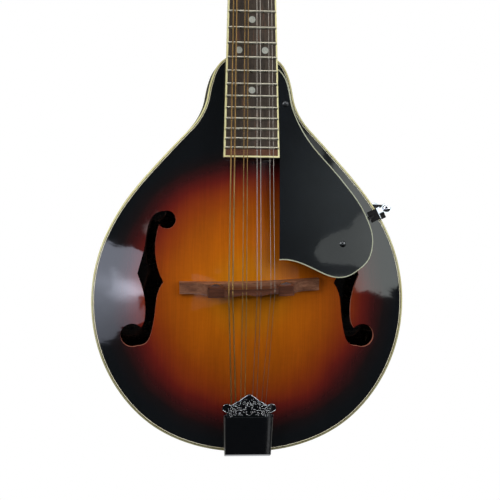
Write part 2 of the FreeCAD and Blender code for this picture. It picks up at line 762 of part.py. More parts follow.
def post_bushings():
    rings = []
    for _, x, z in post_places():
        flange = Part.makeCylinder(5.0, 1.0, Vector(x, -1.0, z), Y_AXIS)
        sleeve = Part.makeCylinder(BUSHING_HOLE, 9.0, Vector(x, 0, z), Y_AXIS)
        bore = Part.makeCylinder(POST_RADIUS + 0.06, 14, Vector(x, -3, z), Y_AXIS)
        rings.append(flange.fuse(sleeve).cut(bore))
    return group(rings)


def headstock_screws():
    """Three screws in the truss rod cover and five in each tuner plate."""
    screws = [moved(small_screw(SMALL_SCREW, 1.6, 0.8, 5), x, -1.6, z) for x, z in COVER_SCREWS]
    back = small_screw(SMALL_SCREW, 1.7, 0.8, 6)
    back.rotate(Vector(0, 0, 0), Z_AXIS, 180)
    for x, z in plate_screw_places():
        screws += [moved(back, x, PLATE_BACK, z), moved(back, -x, PLATE_BACK, z)]
    return group(screws)


# ---- nut, bridge and strings ----
STRINGS = {"g": 0.51, "d": 0.33, "a": 0.19, "e": 0.14}
STRING_TURNS = {"g": 3, "d": 4, "a": 5, "e": 6}
NUT_X = {"g": 10.9, "d": 3.65}
BRIDGE_X = {"g": 15.1, "d": 5.2}
TAIL_X = {"g": 10.2, "d": 4.1}
PAIR_HALF_AT_NUT = 1.05
PAIR_HALF_AT_BRIDGE = 1.4
PAIR_HALF_AT_TAIL = 1.6
SLOT_CLEARANCE = 0.06


def course_x(places, course):
    """A course's middle: the treble courses mirror the bass ones."""
    return {"g": -places["g"], "d": -places["d"], "a": places["d"], "e": places["g"]}[course]


def winding(course):
    """(radius, pitch, top, bottom) of a string's turns on its post, from the hole to where it leaves."""
    radius = STRINGS[course]
    pitch = 2.1 * radius
    top = STRING_HOLE_Y + 2.2 * radius + 0.1
    return WAIST_RADIUS + radius + 0.05, pitch, top, top + STRING_TURNS[course] * pitch


def string_runs():
    """name -> (radius, points): hook, saddle, nut and string post, each at the string's middle."""
    runs = {}
    posts = {name: (x, z) for name, x, z in post_places()}
    for course, radius in STRINGS.items():
        around, _, _, leaves = winding(course)
        for number, side in (("1", -1), ("2", 1)):
            hook_x = course_x(TAIL_X, course) + side * PAIR_HALF_AT_TAIL
            hook = on_tail(Part.Vertex(Vector(hook_x, HOOK_TOP + 1.4, HOOK_Z))).Point
            saddle_x = course_x(BRIDGE_X, course) + side * PAIR_HALF_AT_BRIDGE
            saddle = point_on_bridge(Vector(saddle_x, SADDLE_TOP, 0))
            nut_x = course_x(NUT_X, course) + side * PAIR_HALF_AT_NUT
            nut_point = point_on_neck(Vector(nut_x, -STRING_HEIGHT_AT_NUT, NUT_FACE + NUT_LENGTH / 2))
            post_x, post_z = posts[course + number]
            post = point_on_head(Vector(post_x - math.copysign(around, post_x), leaves, post_z))
            runs[course + number] = (radius, [hook, saddle, nut_point, post])
    return runs


SADDLE_TOP = TOP_ARCH - STRING_HEIGHT_AT_BRIDGE
SADDLE_HALF_LENGTH = 31.2
PAD_HALF = 5.6
WHEEL_X = WHEEL_SPACING / 2
WHEEL_THICKNESS = 2.4
WHEEL_RADIUS = 5.4
WHEEL_GAP = 1.3
BASE_TOP = SADDLE_TOP + 11.6
WHEEL_TOP = BASE_TOP - WHEEL_GAP - WHEEL_THICKNESS
STUD_RADIUS = 1.9
STUD_TOP = WHEEL_TOP - 2.6
STUD_HOLE_TOP = WHEEL_TOP - 4.0
STUD_FOOT = BASE_TOP + 4.0
THREAD_PITCH = 0.7


def bridge_base():
    """Rosewood foot: thin at the ends, thicker under the two studs, and fitted to the arched top below."""
    half = BRIDGE_HALF_LENGTH
    upper = [
        (half, 6.2), (half - 12, 4.6), (WHEEL_X + 8, 2.0),
        (WHEEL_X + 6, 0), (WHEEL_X - 6, 0), (WHEEL_X - 8.5, 0.9),
    ]
    right = [Vector(x, BASE_TOP + y, 0) for x, y in upper]
    left = [Vector(-p.x, p.y, 0) for p in reversed(right)]
    low = [Vector(-half, 12, 0), Vector(half, 12, 0)]
    wire = Part.makePolygon(right + left + low + [right[0]])
    blank = Part.Face(wire).extrude(Vector(0, 0, BRIDGE_WIDTH))
    blank.translate(Vector(0, 0, -BRIDGE_WIDTH / 2))
    blank = blank.cut(group(stud(side, BASE_TOP - 1, STUD_FOOT) for side in (-1, 1)))
    return on_bridge(blank).cut(BEHIND_FRONT_OUTER)


def stud(side, y0, y1, radius=STUD_RADIUS):
    return Part.makeCylinder(radius, y1 - y0, Vector(side * WHEEL_X, y0, 0), Y_AXIS)


def bridge_posts():
    return on_bridge(group(stud(side, STUD_TOP, STUD_FOOT) for side in (-1, 1)))


def thumbwheel(side):
    """Milled wheel on a bridge stud, with shallow scallops round its rim."""
    wheel = stud(side, WHEEL_TOP, WHEEL_TOP + WHEEL_THICKNESS, WHEEL_RADIUS)
    centre = Vector(side * WHEEL_X, WHEEL_TOP - 1, 0)
    cuts = [stud(side, WHEEL_TOP - 1, WHEEL_TOP + WHEEL_THICKNESS + 1, STUD_RADIUS + 0.05)]
    for n in range(24):
        angle = 2 * math.pi * n / 24
        at = centre + Vector(math.cos(angle), 0, math.sin(angle)) * (WHEEL_RADIUS + 0.25)
        cuts.append(Part.makeCylinder(0.55, WHEEL_THICKNESS + 2, at, Y_AXIS))
    return on_bridge(wheel.cut(group(cuts)))


# the tail side of the saddle's crown steps in and out under the courses: (x, place)
CROWN_BACK = [
    (-21, -2.9), (-14, -2.7), (-9.5, -1.9), (-4, -1.4), (-2, -1.5),
    (3, -2.6), (7.5, -2.5), (10, -1.6), (16, -1.3), (21, -2.2),
]


def bridge_saddle():
    """Rosewood saddle on the two wheels: a pad over each stud, and a thinner crown with eight slots."""
    half = SADDLE_HALF_LENGTH
    crown = [
        Vector(half, 4.4, 0), Vector(half - 1.5, 3.2, 0), Vector(WHEEL_X - PAD_HALF, 2.9, 0),
        Vector(WHEEL_X - 8, 0.5, 0), Vector(13, -0.1, 0), Vector(0, -0.2, 0),
    ]
    right = [p + Vector(0, SADDLE_TOP, 0) for p in crown]
    left = [Vector(-p.x, p.y, 0) for p in reversed(right[:-1])]
    bottom = [Vector(-half, WHEEL_TOP, 0), Vector(half, WHEEL_TOP, 0)]
    wire = Part.makePolygon(right + left + bottom + [right[0]])
    blank = Part.Face(wire).extrude(Vector(0, 0, 20))
    blank.translate(Vector(0, 0, -10))
    pad = box(WHEEL_X - PAD_HALF, WHEEL_X + PAD_HALF, -FAR, FAR, -3.8, 3.8)
    end, front = half - 3, 2.6
    crown_plan = prism([(-end, -2.9), *CROWN_BACK, (end, -2.2), (end, front), (-end, front)], -FAR, FAR)
    wood = blank.common(fused([pad, mirrored(pad), crown_plan]))
    wood = wood.cut(group(stud(side, STUD_HOLE_TOP, BASE_TOP, STUD_RADIUS + 0.12) for side in (-1, 1)))
    slots = []
    for radius, (hook, saddle, nut_point, _) in string_runs().values():
        slots += string_slot(hook, saddle, nut_point, radius)
    return on_bridge(wood).cut(fused(slots))


def string_slot(before, bend, after, radius):
    """The way of a string over its bend, a little wider than the string."""
    wide = radius + SLOT_CLEARANCE
    return [rod(before, bend, wide), Part.makeSphere(wide, bend), rod(bend, after, wide)]


def nut():
    half = NUT_HALF_WIDTH
    blank = box(-half, half, -2.2, BOARD_THICKNESS, NUT_FACE, NUT_FACE + NUT_LENGTH)
    shape = on_neck(blank)
    slots = []
    for radius, (_, saddle, nut_point, post) in string_runs().values():
        slots += string_slot(saddle, nut_point, post, radius)
    return shape.cut(fused(slots))


def string_solids(name):
    """One string: its straight stretches, its turns round the post, and its end through the post's hole."""
    radius, (hook, saddle, nut_point, post) = string_runs()[name]
    leaves_at = post + (nut_point - post).normalize() * 0.2
    route = [hook, saddle, nut_point, leaves_at]
    stretches = [rod(start, end, radius) for start, end in zip(route, route[1:])]
    body = fused(stretches + [Part.makeSphere(radius, bend) for bend in route[:3]])
    around, pitch, top, bottom = winding(name[0])
    helix = Part.makeHelix(pitch, bottom - top, around)
    corners = [math.pi * n / 4 for n in range(9)]
    ring_points = [Vector(around + radius * math.cos(a), 0, radius * math.sin(a)) for a in corners]
    section = Part.makePolygon(ring_points)
    coil = Part.Wire(helix.Edges).makePipeShell([section], True, True)
    coil.rotate(Vector(0, 0, 0), X_AXIS, 90)
    coil.translate(Vector(0, bottom, 0))
    inside, outside = Vector(around, STRING_HOLE_Y, 0), Vector(-5, STRING_HOLE_Y, 0)
    down = Vector(around, top - radius * 1.1, 0)
    end = fused([rod(outside, inside, radius), Part.makeSphere(radius, inside), rod(inside, down, radius)])
    post_x, post_z = next((x, z) for n, x, z in post_places() if n == name)
    on_post = [coil, end] if post_x < 0 else [mirrored(coil), mirrored(end)]
    return [body] + [on_head(moved(solid, post_x, 0, post_z)) for solid in on_post]


def strings(course):
    return group(s for number in "12" for s in string_solids(course + number))


# ---- tailpiece, strap button and pickguard ----
TAIL_SHEET = 0.8
TAIL_HALF = 15.4
FLANGE_HALF = 13.6
HOOK_Z = 22.0
HOOK_TOP = -3.6
SCREW_PLACES = ((-9.5, FRONT + 8), (9.5, FRONT + 8), (0, BACK - 7.5))
BUTTON_SHANK_RADIUS = 3.2
COVER_HALF = 17.8
COVER_HALF_AT_FOOT = 16.8
COVER_SHEET = 0.6
COVER_FRONT = -7.4
COVER_LENGTH = 31.2
COVER_FOOT = -1.9
LIP_GAP = 14.2
BASE_LENGTH = 30.0
# half of the crest's outline, (x, place along the tailpiece), from the cover's corner to the peak
CREST = [
    (15.9, 32.4), (19.5, 35.0), (19.7, 36.9), (18.6, 39.1), (16.6, 40.0), (14.6, 39.6), (13.0, 38.8),
    (9.0, 41.5), (7.2, 42.1), (6.3, 43.1), (3.9, 44.9), (1.6, 46.6), (0, 47.1),
]


def tailpiece_base():
    """Bent sheet: a flange screwed to the tail, and a sloping plate over the top with eight hooks."""
    flange = ring(-TAIL_SHEET, 0, FRONT - PLATE_EDGE - 2, BACK - 2)
    flange = flange.common(box(-FLANGE_HALF, FLANGE_HALF, -FAR, FAR, 0, TAIL + 6))
    plate = on_tail(box(-TAIL_HALF, TAIL_HALF, 0, TAIL_SHEET, 1.5, BASE_LENGTH))
    bend = on_tail(box(-FLANGE_HALF, FLANGE_HALF, 0, TAIL_SHEET, -0.8, 2))
    hooks = []
    for _, (hook, _, _, _) in string_runs().values():
        peg = Part.makeCylinder(0.9, -HOOK_TOP + 0.2, Vector(hook.x, HOOK_TOP, HOOK_Z - 2.2), Y_AXIS)
        hooks.append(on_tail(peg))
    sheet = fused([flange, plate, bend, *hooks])
    return sheet.cut(button_shank(BUTTON_SHANK_RADIUS)).cut(tailpiece_screws())


def tail_screw(x, y):
    """A screw up into the tail block, with its head on the flange."""
    screw = small_screw(1.3, 2.4, 1.3, 12)
    screw.rotate(Vector(0, 0, 0), X_AXIS, 90)
    level = TAIL - TAIL_SHEET + (0.35 if x else 0)
    return moved(screw, x, y, level)


def tailpiece_screws():
    return group(tail_screw(x, y) for x, y in SCREW_PLACES)


def tail_screw_shanks():
    return [Part.makeCylinder(1.3, 14, Vector(x, y, TAIL - 2), Z_AXIS) for x, y in SCREW_PLACES]


def tailpiece_cover():
    """Bright sheet cover that slides down off the base, with a cast scalloped crest at its upper edge."""
    sheet, deep = COVER_SHEET, TAIL_SHEET + 0.75
    low, high, foot_half, top_half = COVER_FOOT, COVER_LENGTH, COVER_HALF_AT_FOOT, COVER_HALF

    def plan(inset, y0, y1):
        foot, top = foot_half - inset, top_half - inset
        return prism([(-foot, low), (foot, low), (top, high), (-top, high)], y0, y1)

    def channel(inset, z0):
        front = COVER_FRONT + inset
        points = [(front, high), (front, 0.8 + inset), (front + 4.4, z0), (deep, z0), (deep, high)]
        wire = Part.makePolygon([Vector(-FAR, y, z) for y, z in [*points, points[0]]])
        return Part.Face(wire).extrude(Vector(2 * FAR, 0, 0)).common(plan(inset, -FAR, FAR))

    shell = channel(0, low).cut(channel(sheet, low + sheet))
    shell = shell.cut(plan(sheet, COVER_FRONT + sheet, FAR).common(box(-FAR, FAR, -FAR, FAR, 5, FAR)))
    shell = shell.cut(plan(sheet, 0, FAR).common(box(-FAR, FAR, -FAR, FAR, low + sheet, FAR)))
    lips = plan(0, TAIL_SHEET + 0.15, deep).common(box(-FAR, FAR, -FAR, FAR, 4, BASE_LENGTH - 1))
    lips = lips.cut(box(-LIP_GAP, LIP_GAP, -FAR, FAR, -FAR, FAR))
    mirror = [(-x, z) for x, z in reversed(CREST[:-1])]
    foot = [(-15.9, BASE_LENGTH - 0.5), (15.9, BASE_LENGTH - 0.5)]
    crest = prism(CREST + mirror + foot, COVER_FRONT - 0.7, COVER_FRONT + sheet)
    return on_tail(fused([shell, crest, lips]))


def button_shank(radius):
    return Part.makeCylinder(radius, TAIL + 14, Vector(0, 0, 0), Z_AXIS)


def strap_button():
    """Turned end pin: a head, a waist for the strap, a collar, and a shank into the tail block."""
    profile = [
        (0, 0), (BUTTON_RIM, 0), (BUTTON_RIM, BUTTON_RIM_LENGTH), (4.4, 2.1), (3.9, 3), (4.4, 3.9),
        (5.8, 4.6), (5.8, TAIL - TAIL_SHEET),
        (BUTTON_SHANK_RADIUS, TAIL - TAIL_SHEET), (BUTTON_SHANK_RADIUS, TAIL + 14),
        (0, TAIL + 14),
    ]
    wire = Part.makePolygon([Vector(r, 0, z) for r, z in [*profile, profile[0]]])
    return Part.Face(wire).revolve(Vector(0, 0, 0), Z_AXIS, 360)


BUTTON_RIM = 6.5
BUTTON_RIM_LENGTH = 1.4

# (x, place along the neck's frame) of the pickguard's outer edge, from the neck round to the strings
GUARD_EDGE = [
    (19.4, -8.2), (25, -16), (28.9, -33), (34, -46.5), (43.7, -62.3), (57, -77.5), (70.4, -93.4),
    (78.6, -104.6), (84.8, -116.6), (88.3, -129), (87.9, -137), (84.7, -146.1), (78.5, -152.2),
    (70.3, -157.2), (61, -158.2),
    (51.8, -155.4), (38.5, -149.2), (29.3, -146.3), (20.6, -145.8),
]
GUARD_FACE = 0.4
GUARD_THICKNESS = 2.2
GUARD_BINDING = 0.7
GUARD_GAP = 0.25
GUARD_PINS = ((24.4, -33.2), (66.2, -134.0))
BOSS_DEPTH = 3.0
CLAMP_ROD = 1.1
BARREL_X = 7.6
BARREL_RADIUS = 2.5


def guard_blank(inset):
    outer = spline([Vector(x, GUARD_FACE, z) for x, z in GUARD_EDGE])
    count = 60
    points = []
    for n in range(count + 1):
        at = outer.FirstParameter + (outer.LastParameter - outer.FirstParameter) * n / count
        along = outer.tangent(at)[0]
        points.append(outer.value(at) + Vector(along.z, 0, -along.x) * inset)
    edge = spline(points).toShape()
    start, end = points[0], points[-1]
    inner_low = Vector(BOARD_END_HALF_WIDTH + GUARD_GAP, GUARD_FACE, end.z)
    inner_high = Vector(board_half_width(start.z) + GUARD_GAP, GUARD_FACE, start.z)
    corner = Vector(BOARD_END_HALF_WIDTH + GUARD_GAP, GUARD_FACE, BOARD_END)
    path = [end, inner_low, corner, inner_high, start]
    lines = [Part.makeLine(a, b) for a, b in zip(path, path[1:]) if (a - b).Length > 0.01]
    return Part.Face(Part.Wire([edge, *lines])).extrude(Vector(0, GUARD_THICKNESS, 0))


def pickguard():
    plate = guard_blank(0).common(guard_inner())
    holes = [Part.makeCylinder(1.2, 9, Vector(x, -3, z), Y_AXIS) for x, z in GUARD_PINS]
    return on_neck(plate.cut(group(holes)))


def guard_inner():
    """Everything inside the guard's cream edge, reaching past its straight inner edge."""
    inner = guard_blank(GUARD_BINDING)
    return inner.fuse(guard_blank(GUARD_BINDING).common(box(0, 22, -5, 9, -150, 0)))


def pickguard_binding():
    return on_neck(guard_blank(0).cut(guard_inner()))


def pickguard_pins():
    """Two round-head screws: one into a stand-off that rests on the top, one into the clamp rod's boss."""
    pins = []
    under = GUARD_FACE + GUARD_THICKNESS
    for (x, z), depth in zip(GUARD_PINS, (16, BOSS_DEPTH)):
        screw = moved(small_screw(1.2, 2.3, 1.0, GUARD_THICKNESS), x, GUARD_FACE, z)
        sleeve = Part.makeCylinder(2.6, depth, Vector(x, under, z), Y_AXIS)
        pins.append(on_neck(screw.fuse(sleeve)).cut(BEHIND_FRONT_OUTER))
    return group(pins)


CLAMP_POINT = Vector(94.5, 0, TAIL + 176.6)
CLAMP_TURN = -27.5


def at_clamp(shape):
    """From the clamp's own frame, whose +X leaves the rib square on, to the row frame."""
    copy = shape.copy()
    copy.rotate(Vector(0, 0, 0), Y_AXIS, CLAMP_TURN)
    copy.translate(CLAMP_POINT)
    return copy


def clamp_hook(face, inward):
    """A plate that hooks over the body's edge and reaches out to an eye that the barrel goes through."""
    low, high = min(face, face + inward), max(face, face + inward)
    pad = box(-6.4, 3.2, low, high, -4.6, 3.6)
    neck = prism([(1, -3.0), (BARREL_X, -2.5), (BARREL_X, 2.5), (1, 2.6)], low, high)
    eye = Part.makeCylinder(BARREL_RADIUS + 1.3, high - low, Vector(BARREL_X, low, 0), Y_AXIS)
    down = box(1.2, 4.6, min(face, face + 6 * inward), max(face, face + 6 * inward), -5.6, 1.0)
    bore = Part.makeCylinder(BARREL_RADIUS, high - low + 2, Vector(BARREL_X, low - 1, 0), Y_AXIS)
    return fused([pad, neck, eye, down]).cut(bore)


CLAMP_FRONT = FRONT - PLATE_EDGE - 1.5
CLAMP_BACK = BACK + PLATE_EDGE + 1.5


def pickguard_clamp():
    """Front and back hooks on the rim, and the bent rod from the front hook to the pickguard's underside."""
    depth = GUARD_FACE + GUARD_THICKNESS + BOSS_DEPTH + CLAMP_ROD
    foot_start, foot_end = Vector(63, depth, -137.1), Vector(79.2, depth, -121.5)
    bend = on_neck(Part.Vertex(foot_end)).Point
    corner = at_clamp(Part.Vertex(Vector(-3.6, CLAMP_FRONT + 0.3, -0.6))).Point
    rods = [on_neck(rod(foot_start, foot_end, CLAMP_ROD)), rod(bend, corner, CLAMP_ROD)]
    rods.append(Part.makeSphere(CLAMP_ROD, bend))
    front = fused([at_clamp(clamp_hook(CLAMP_FRONT, 1.3)), *rods])
    return group([front, at_clamp(clamp_hook(CLAMP_BACK, -1.3))])


def clamp_turnbuckle():
    """Threaded barrel outside the rib that draws the two hooks together: a domed end and a cross hole."""
    start = CLAMP_FRONT - 2.2
    barrel = Part.makeCylinder(BARREL_RADIUS, CLAMP_BACK + 1.5 - start, Vector(BARREL_X, start, 0), Y_AXIS)
    dome = Part.makeSphere(4.2, Vector(BARREL_X, start + 3.216, 0))
    dome = dome.common(Part.makeCylinder(BARREL_RADIUS, 3, Vector(BARREL_X, start - 2, 0), Y_AXIS))
    hole = rod(Vector(0, 0, 0), Vector(20, 0, 0), 0.8)
    return at_clamp(barrel.fuse(dome).removeSplitter().cut(hole))


# ---- every node ----
def build():
    parts = {
        "top_plate": top_plate(),
        "back_plate": back_plate(),
        "linings": group([lining(FRONT, FRONT + 7), lining(BACK - 7, BACK)]),
        "neck_block": neck_block(),
        "tail_block": tail_block(),
        "tone_bars": tone_bars(),
        "top_binding": binding(FRONT - PLATE_EDGE, FRONT + BINDING_BELOW),
        "back_binding": binding(BACK - BINDING_BELOW, BACK + PLATE_EDGE),
        "top_purfling": top_purfling(),
        "neck": neck(),
        "heel_cap": heel_cap(),
        "truss_rod": on_neck(truss_rod()),
        "fingerboard_riser": fingerboard_riser(),
        "fingerboard": on_neck(fingerboard()),
        "fingerboard_binding": on_neck(fingerboard_binding()),
        "frets": on_neck(frets()),
        "position_dots": on_neck(position_dots()),
        "side_dots": on_neck(side_dots()),
        "nut": nut(),
        "headstock_overlay": on_head(headstock_overlay()),
        "truss_rod_cover": on_head(truss_rod_cover()),
        "headstock_screws": on_head(headstock_screws()),
        "tuner_plates": on_head(tuner_plates()),
        "post_bushings": on_head(post_bushings()),
        "bridge_base": bridge_base(),
        "bridge_posts": bridge_posts(),
        "bridge_saddle": bridge_saddle(),
        "thumbwheel_bass": thumbwheel(-1),
        "thumbwheel_treble": thumbwheel(1),
        "tailpiece_base": tailpiece_base(),
        "tailpiece_screws": tailpiece_screws(),
        "tailpiece_cover": tailpiece_cover(),
        "strap_button": strap_button(),
        "pickguard": pickguard(),
        "pickguard_binding": pickguard_binding(),
        "pickguard_pins": pickguard_pins(),
        "pickguard_clamp": pickguard_clamp(),
        "clamp_turnbuckle": clamp_turnbuckle(),
    }
    sides = ribs()
    parts["bass_rib"] = sides.common(box(-FAR, 0, -FAR, FAR, 0, FAR))
    parts["treble_rib"] = sides.common(box(0, FAR, -FAR, FAR, 0, FAR))
    for course in STRINGS:
        parts[f"strings_{course}"] = strings(course)
    post, key = string_post(), tuner_key()
    for name, x, z in post_places():
        parts[f"string_post_{name}"] = on_head(moved(post, x, 0, z))
        handed = key if x > 0 else handed_for_bass(key)
        parts[f"tuner_key_{name}"] = on_head(moved(handed, x, WORM_Y, z - WORM_DROP))
    return parts


def handed_for_bass(key):
    """The same key turned end for end: its thread keeps its hand, and its button is on the bass side."""
    copy = key.copy()
    copy.rotate(Vector(0, 0, 0), Z_AXIS, 180)
    return copy


def main():
    os.makedirs("parts", exist_ok=True)
    for name, shape in build().items():
        shape.exportStep(f"parts/{name}.step")


if __name__ == "__main__":
    main()
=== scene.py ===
import math

import bmesh
import bpy
from mathutils import Matrix, Vector
from mathutils.bvhtree import BVHTree


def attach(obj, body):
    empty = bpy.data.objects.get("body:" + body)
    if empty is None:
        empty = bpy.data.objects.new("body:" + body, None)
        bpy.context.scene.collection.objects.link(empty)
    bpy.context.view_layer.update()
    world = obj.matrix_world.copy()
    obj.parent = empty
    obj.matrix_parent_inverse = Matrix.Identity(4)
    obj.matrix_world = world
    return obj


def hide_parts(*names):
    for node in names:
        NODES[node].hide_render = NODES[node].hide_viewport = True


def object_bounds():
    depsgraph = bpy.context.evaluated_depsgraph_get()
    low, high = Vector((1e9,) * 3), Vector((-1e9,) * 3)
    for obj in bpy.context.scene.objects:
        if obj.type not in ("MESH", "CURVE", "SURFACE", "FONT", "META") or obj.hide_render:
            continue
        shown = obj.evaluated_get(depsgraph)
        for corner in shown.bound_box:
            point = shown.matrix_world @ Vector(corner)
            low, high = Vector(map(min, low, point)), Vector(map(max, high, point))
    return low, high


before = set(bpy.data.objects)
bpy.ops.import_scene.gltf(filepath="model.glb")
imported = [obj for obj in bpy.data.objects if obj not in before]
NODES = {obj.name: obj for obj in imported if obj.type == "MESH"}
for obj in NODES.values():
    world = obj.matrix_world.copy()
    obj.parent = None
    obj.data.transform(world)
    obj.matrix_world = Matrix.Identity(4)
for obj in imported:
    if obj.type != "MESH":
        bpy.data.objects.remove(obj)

# A sunburst mandolin standing on its tail: +X treble side, +Y back, +Z up the neck, metres.
# Material coordinates are the same frame in millimetres.

CAD_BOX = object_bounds()

BURST_CENTRE_Z = 124.5     # mm, where the sunburst is lightest
RED_END_Z = 229.4          # mm, under the last fret, where the fingerboard's redder end begins
BUTTON_INSIDE = 39.0       # mm from the middle, where a tuner shaft ends and its button begins


def srgb(red, green, blue):
    """A display colour, 0 to 255, as the linear colour that a shader takes."""
    def linear(value):
        value /= 255.0
        return value / 12.92 if value <= 0.04045 else ((value + 0.055) / 1.055) ** 2.4
    return (linear(red), linear(green), linear(blue), 1.0)


class Graph:
    """A material being built: its methods add nodes, and most give back an output to go on from."""

    def __init__(self, name):
        self.material = bpy.data.materials.new(name)
        self.material.use_nodes = True
        self.tree = self.material.node_tree
        self.tree.nodes.clear()
        self.shader = self.node("ShaderNodeBsdfPrincipled")
        output = self.node("ShaderNodeOutputMaterial")
        self.tree.links.new(self.shader.outputs["BSDF"], output.inputs["Surface"])
        place = self.node("ShaderNodeTexCoord")
        self.mm = self.scale(place.outputs["Object"], (1000, 1000, 1000))
        self.facing = place.outputs["Normal"]

    def node(self, kind, **settings):
        made = self.tree.nodes.new(kind)
        for key, value in settings.items():
            setattr(made, key, value)
        return made

    def feed(self, socket, value):
        """Links an output to the socket, or sets the socket to a plain value."""
        if isinstance(value, bpy.types.NodeSocket):
            self.tree.links.new(value, socket)
        elif value is not None:
            socket.default_value = value

    def set(self, **values):
        """Sets the shader's sockets: base_color=..., coat_weight=..."""
        for key, value in values.items():
            name = " ".join(word.capitalize() for word in key.split("_"))
            name = name.replace("Ior", "IOR")
            self.feed(self.shader.inputs[name], value)

    def scale(self, vector, factors):
        made = self.node("ShaderNodeVectorMath", operation="MULTIPLY")
        self.feed(made.inputs[0], vector)
        made.inputs[1].default_value = factors
        return made.outputs[0]

    def maths(self, operation, a, b=None, c=None, clamp=False):
        made = self.node("ShaderNodeMath", operation=operation, use_clamp=clamp)
        for socket, value in zip(made.inputs, (a, b, c)):
            self.feed(socket, value)
        return made.outputs[0]

    def length(self, a, b):
        squares = self.maths("ADD", self.maths("MULTIPLY", a, a), self.maths("MULTIPLY", b, b))
        return self.maths("SQRT", squares)

    def axes(self, vector):
        made = self.node("ShaderNodeSeparateXYZ")
        self.feed(made.inputs[0], vector)
        return made.outputs[0], made.outputs[1], made.outputs[2]

    def join(self, x, y, z):
        made = self.node("ShaderNodeCombineXYZ")
        for socket, value in zip(made.inputs, (x, y, z)):
            self.feed(socket, value)
        return made.outputs[0]

    def step(self, value, low, high, to_low=0.0, to_high=1.0):
        """Goes smoothly from to_low to to_high as value goes from low to high."""
        made = self.node("ShaderNodeMapRange", interpolation_type="SMOOTHSTEP")
        for socket, given in zip(made.inputs, (value, low, high, to_low, to_high)):
            self.feed(socket, given)
        return made.outputs[0]

    def noise(self, vector, size, detail=3.0, rough=0.55, swirl=0.0):
        """Noise with blobs about size millimetres across."""
        made = self.node("ShaderNodeTexNoise")
        self.feed(made.inputs["Vector"], vector)
        made.inputs["Scale"].default_value = 1.0 / size
        made.inputs["Detail"].default_value = detail
        made.inputs["Roughness"].default_value = rough
        made.inputs["Distortion"].default_value = swirl
        return made.outputs[0]

    def ramp(self, value, stops):
        made = self.node("ShaderNodeValToRGB")
        self.feed(made.inputs[0], value)
        points = made.color_ramp.elements
        while len(points) < len(stops):
            points.new(0.5)
        for point, (place, colour) in zip(points, stops):
            point.position = place
            point.color = colour
        return made.outputs[0]

    def mix(self, amount, a, b):
        made = self.node("ShaderNodeMix", data_type="RGBA")
        self.feed(made.inputs["Factor"], amount)
        self.feed(made.inputs[6], a)
        self.feed(made.inputs[7], b)
        return made.outputs[2]

    def shade(self, colour, factor):
        """The colour made lighter or darker by a factor that varies over the surface."""
        made = self.node("ShaderNodeVectorMath", operation="SCALE")
        self.feed(made.inputs[0], colour)
        self.feed(made.inputs["Scale"], factor)
        return made.outputs[0]

    def bump(self, height, depth):
        """A normal from a height that runs from 0 to 1, with depth in millimetres."""
        made = self.node("ShaderNodeBump")
        made.inputs["Distance"].default_value = depth / 1000.0
        self.feed(made.inputs["Height"], height)
        return made.outputs[0]


def lacquer(g, grain_height=None, grain_depth=0.02, coat=1.0, roughness=0.035):
    """A polished clear coat with a little orange peel, over wood, plastic or shell."""
    peel = g.bump(g.noise(g.mm, 2.6, 1.0, 0.4), 0.0035)
    g.set(coat_weight=coat, coat_roughness=roughness, coat_normal=peel, coat_ior=1.5)
    if grain_height is not None:
        g.set(normal=g.bump(grain_height, grain_depth))


# The sunburst, from its middle out: amber, orange, red, dark red, black, each with its distance in mm.
BURST = [
    (20, srgb(158, 92, 5)), (36, srgb(155, 80, 4)), (48, srgb(145, 72, 4)),
    (60, srgb(132, 62, 5)), (68, srgb(121, 50, 6)), (76, srgb(108, 37, 9)),
    (84, srgb(84, 19, 12)), (92, srgb(50, 11, 11)), (101, srgb(16, 9, 10)),
    (109, srgb(7, 10, 13)),
]
BURST_REACH = 130.0        # mm, the length of the whole colour ramp


def burst(g):
    """
    The sunburst's colour, and how far out in the burst it lies, in millimetres. It darkens sooner up and to
    the bass side, and reaches a little further towards the tail; its further reach towards the neck is
    painted light, lightening the top where the lamps leave it darker below the fingerboard's end.
    """
    x, _, z = g.axes(g.mm)
    up = g.maths("SUBTRACT", z, BURST_CENTRE_Z)
    away = g.length(x, up)
    drift = g.maths("MULTIPLY", g.maths("SUBTRACT", g.noise(g.mm, 38, 2.0), 0.5), 9.0)
    shoulder = g.step(g.maths("SUBTRACT", up, x), 60, 130, 0.0, 4.0)
    away = g.maths("ADD", g.maths("ADD", away, drift), shoulder)
    # painted light: the first step makes the burst lighter towards the neck, where the lamps leave the top
    # darker
    ends = g.maths("ADD", g.step(up, 45, 72, 0.0, -3.5), g.step(up, -72, -45, -2.5, 0.0))
    away = g.maths("ADD", away, ends)
    stops = [(radius / BURST_REACH, colour) for radius, colour in BURST]
    return g.ramp(g.maths("DIVIDE", away, BURST_REACH), stops), away


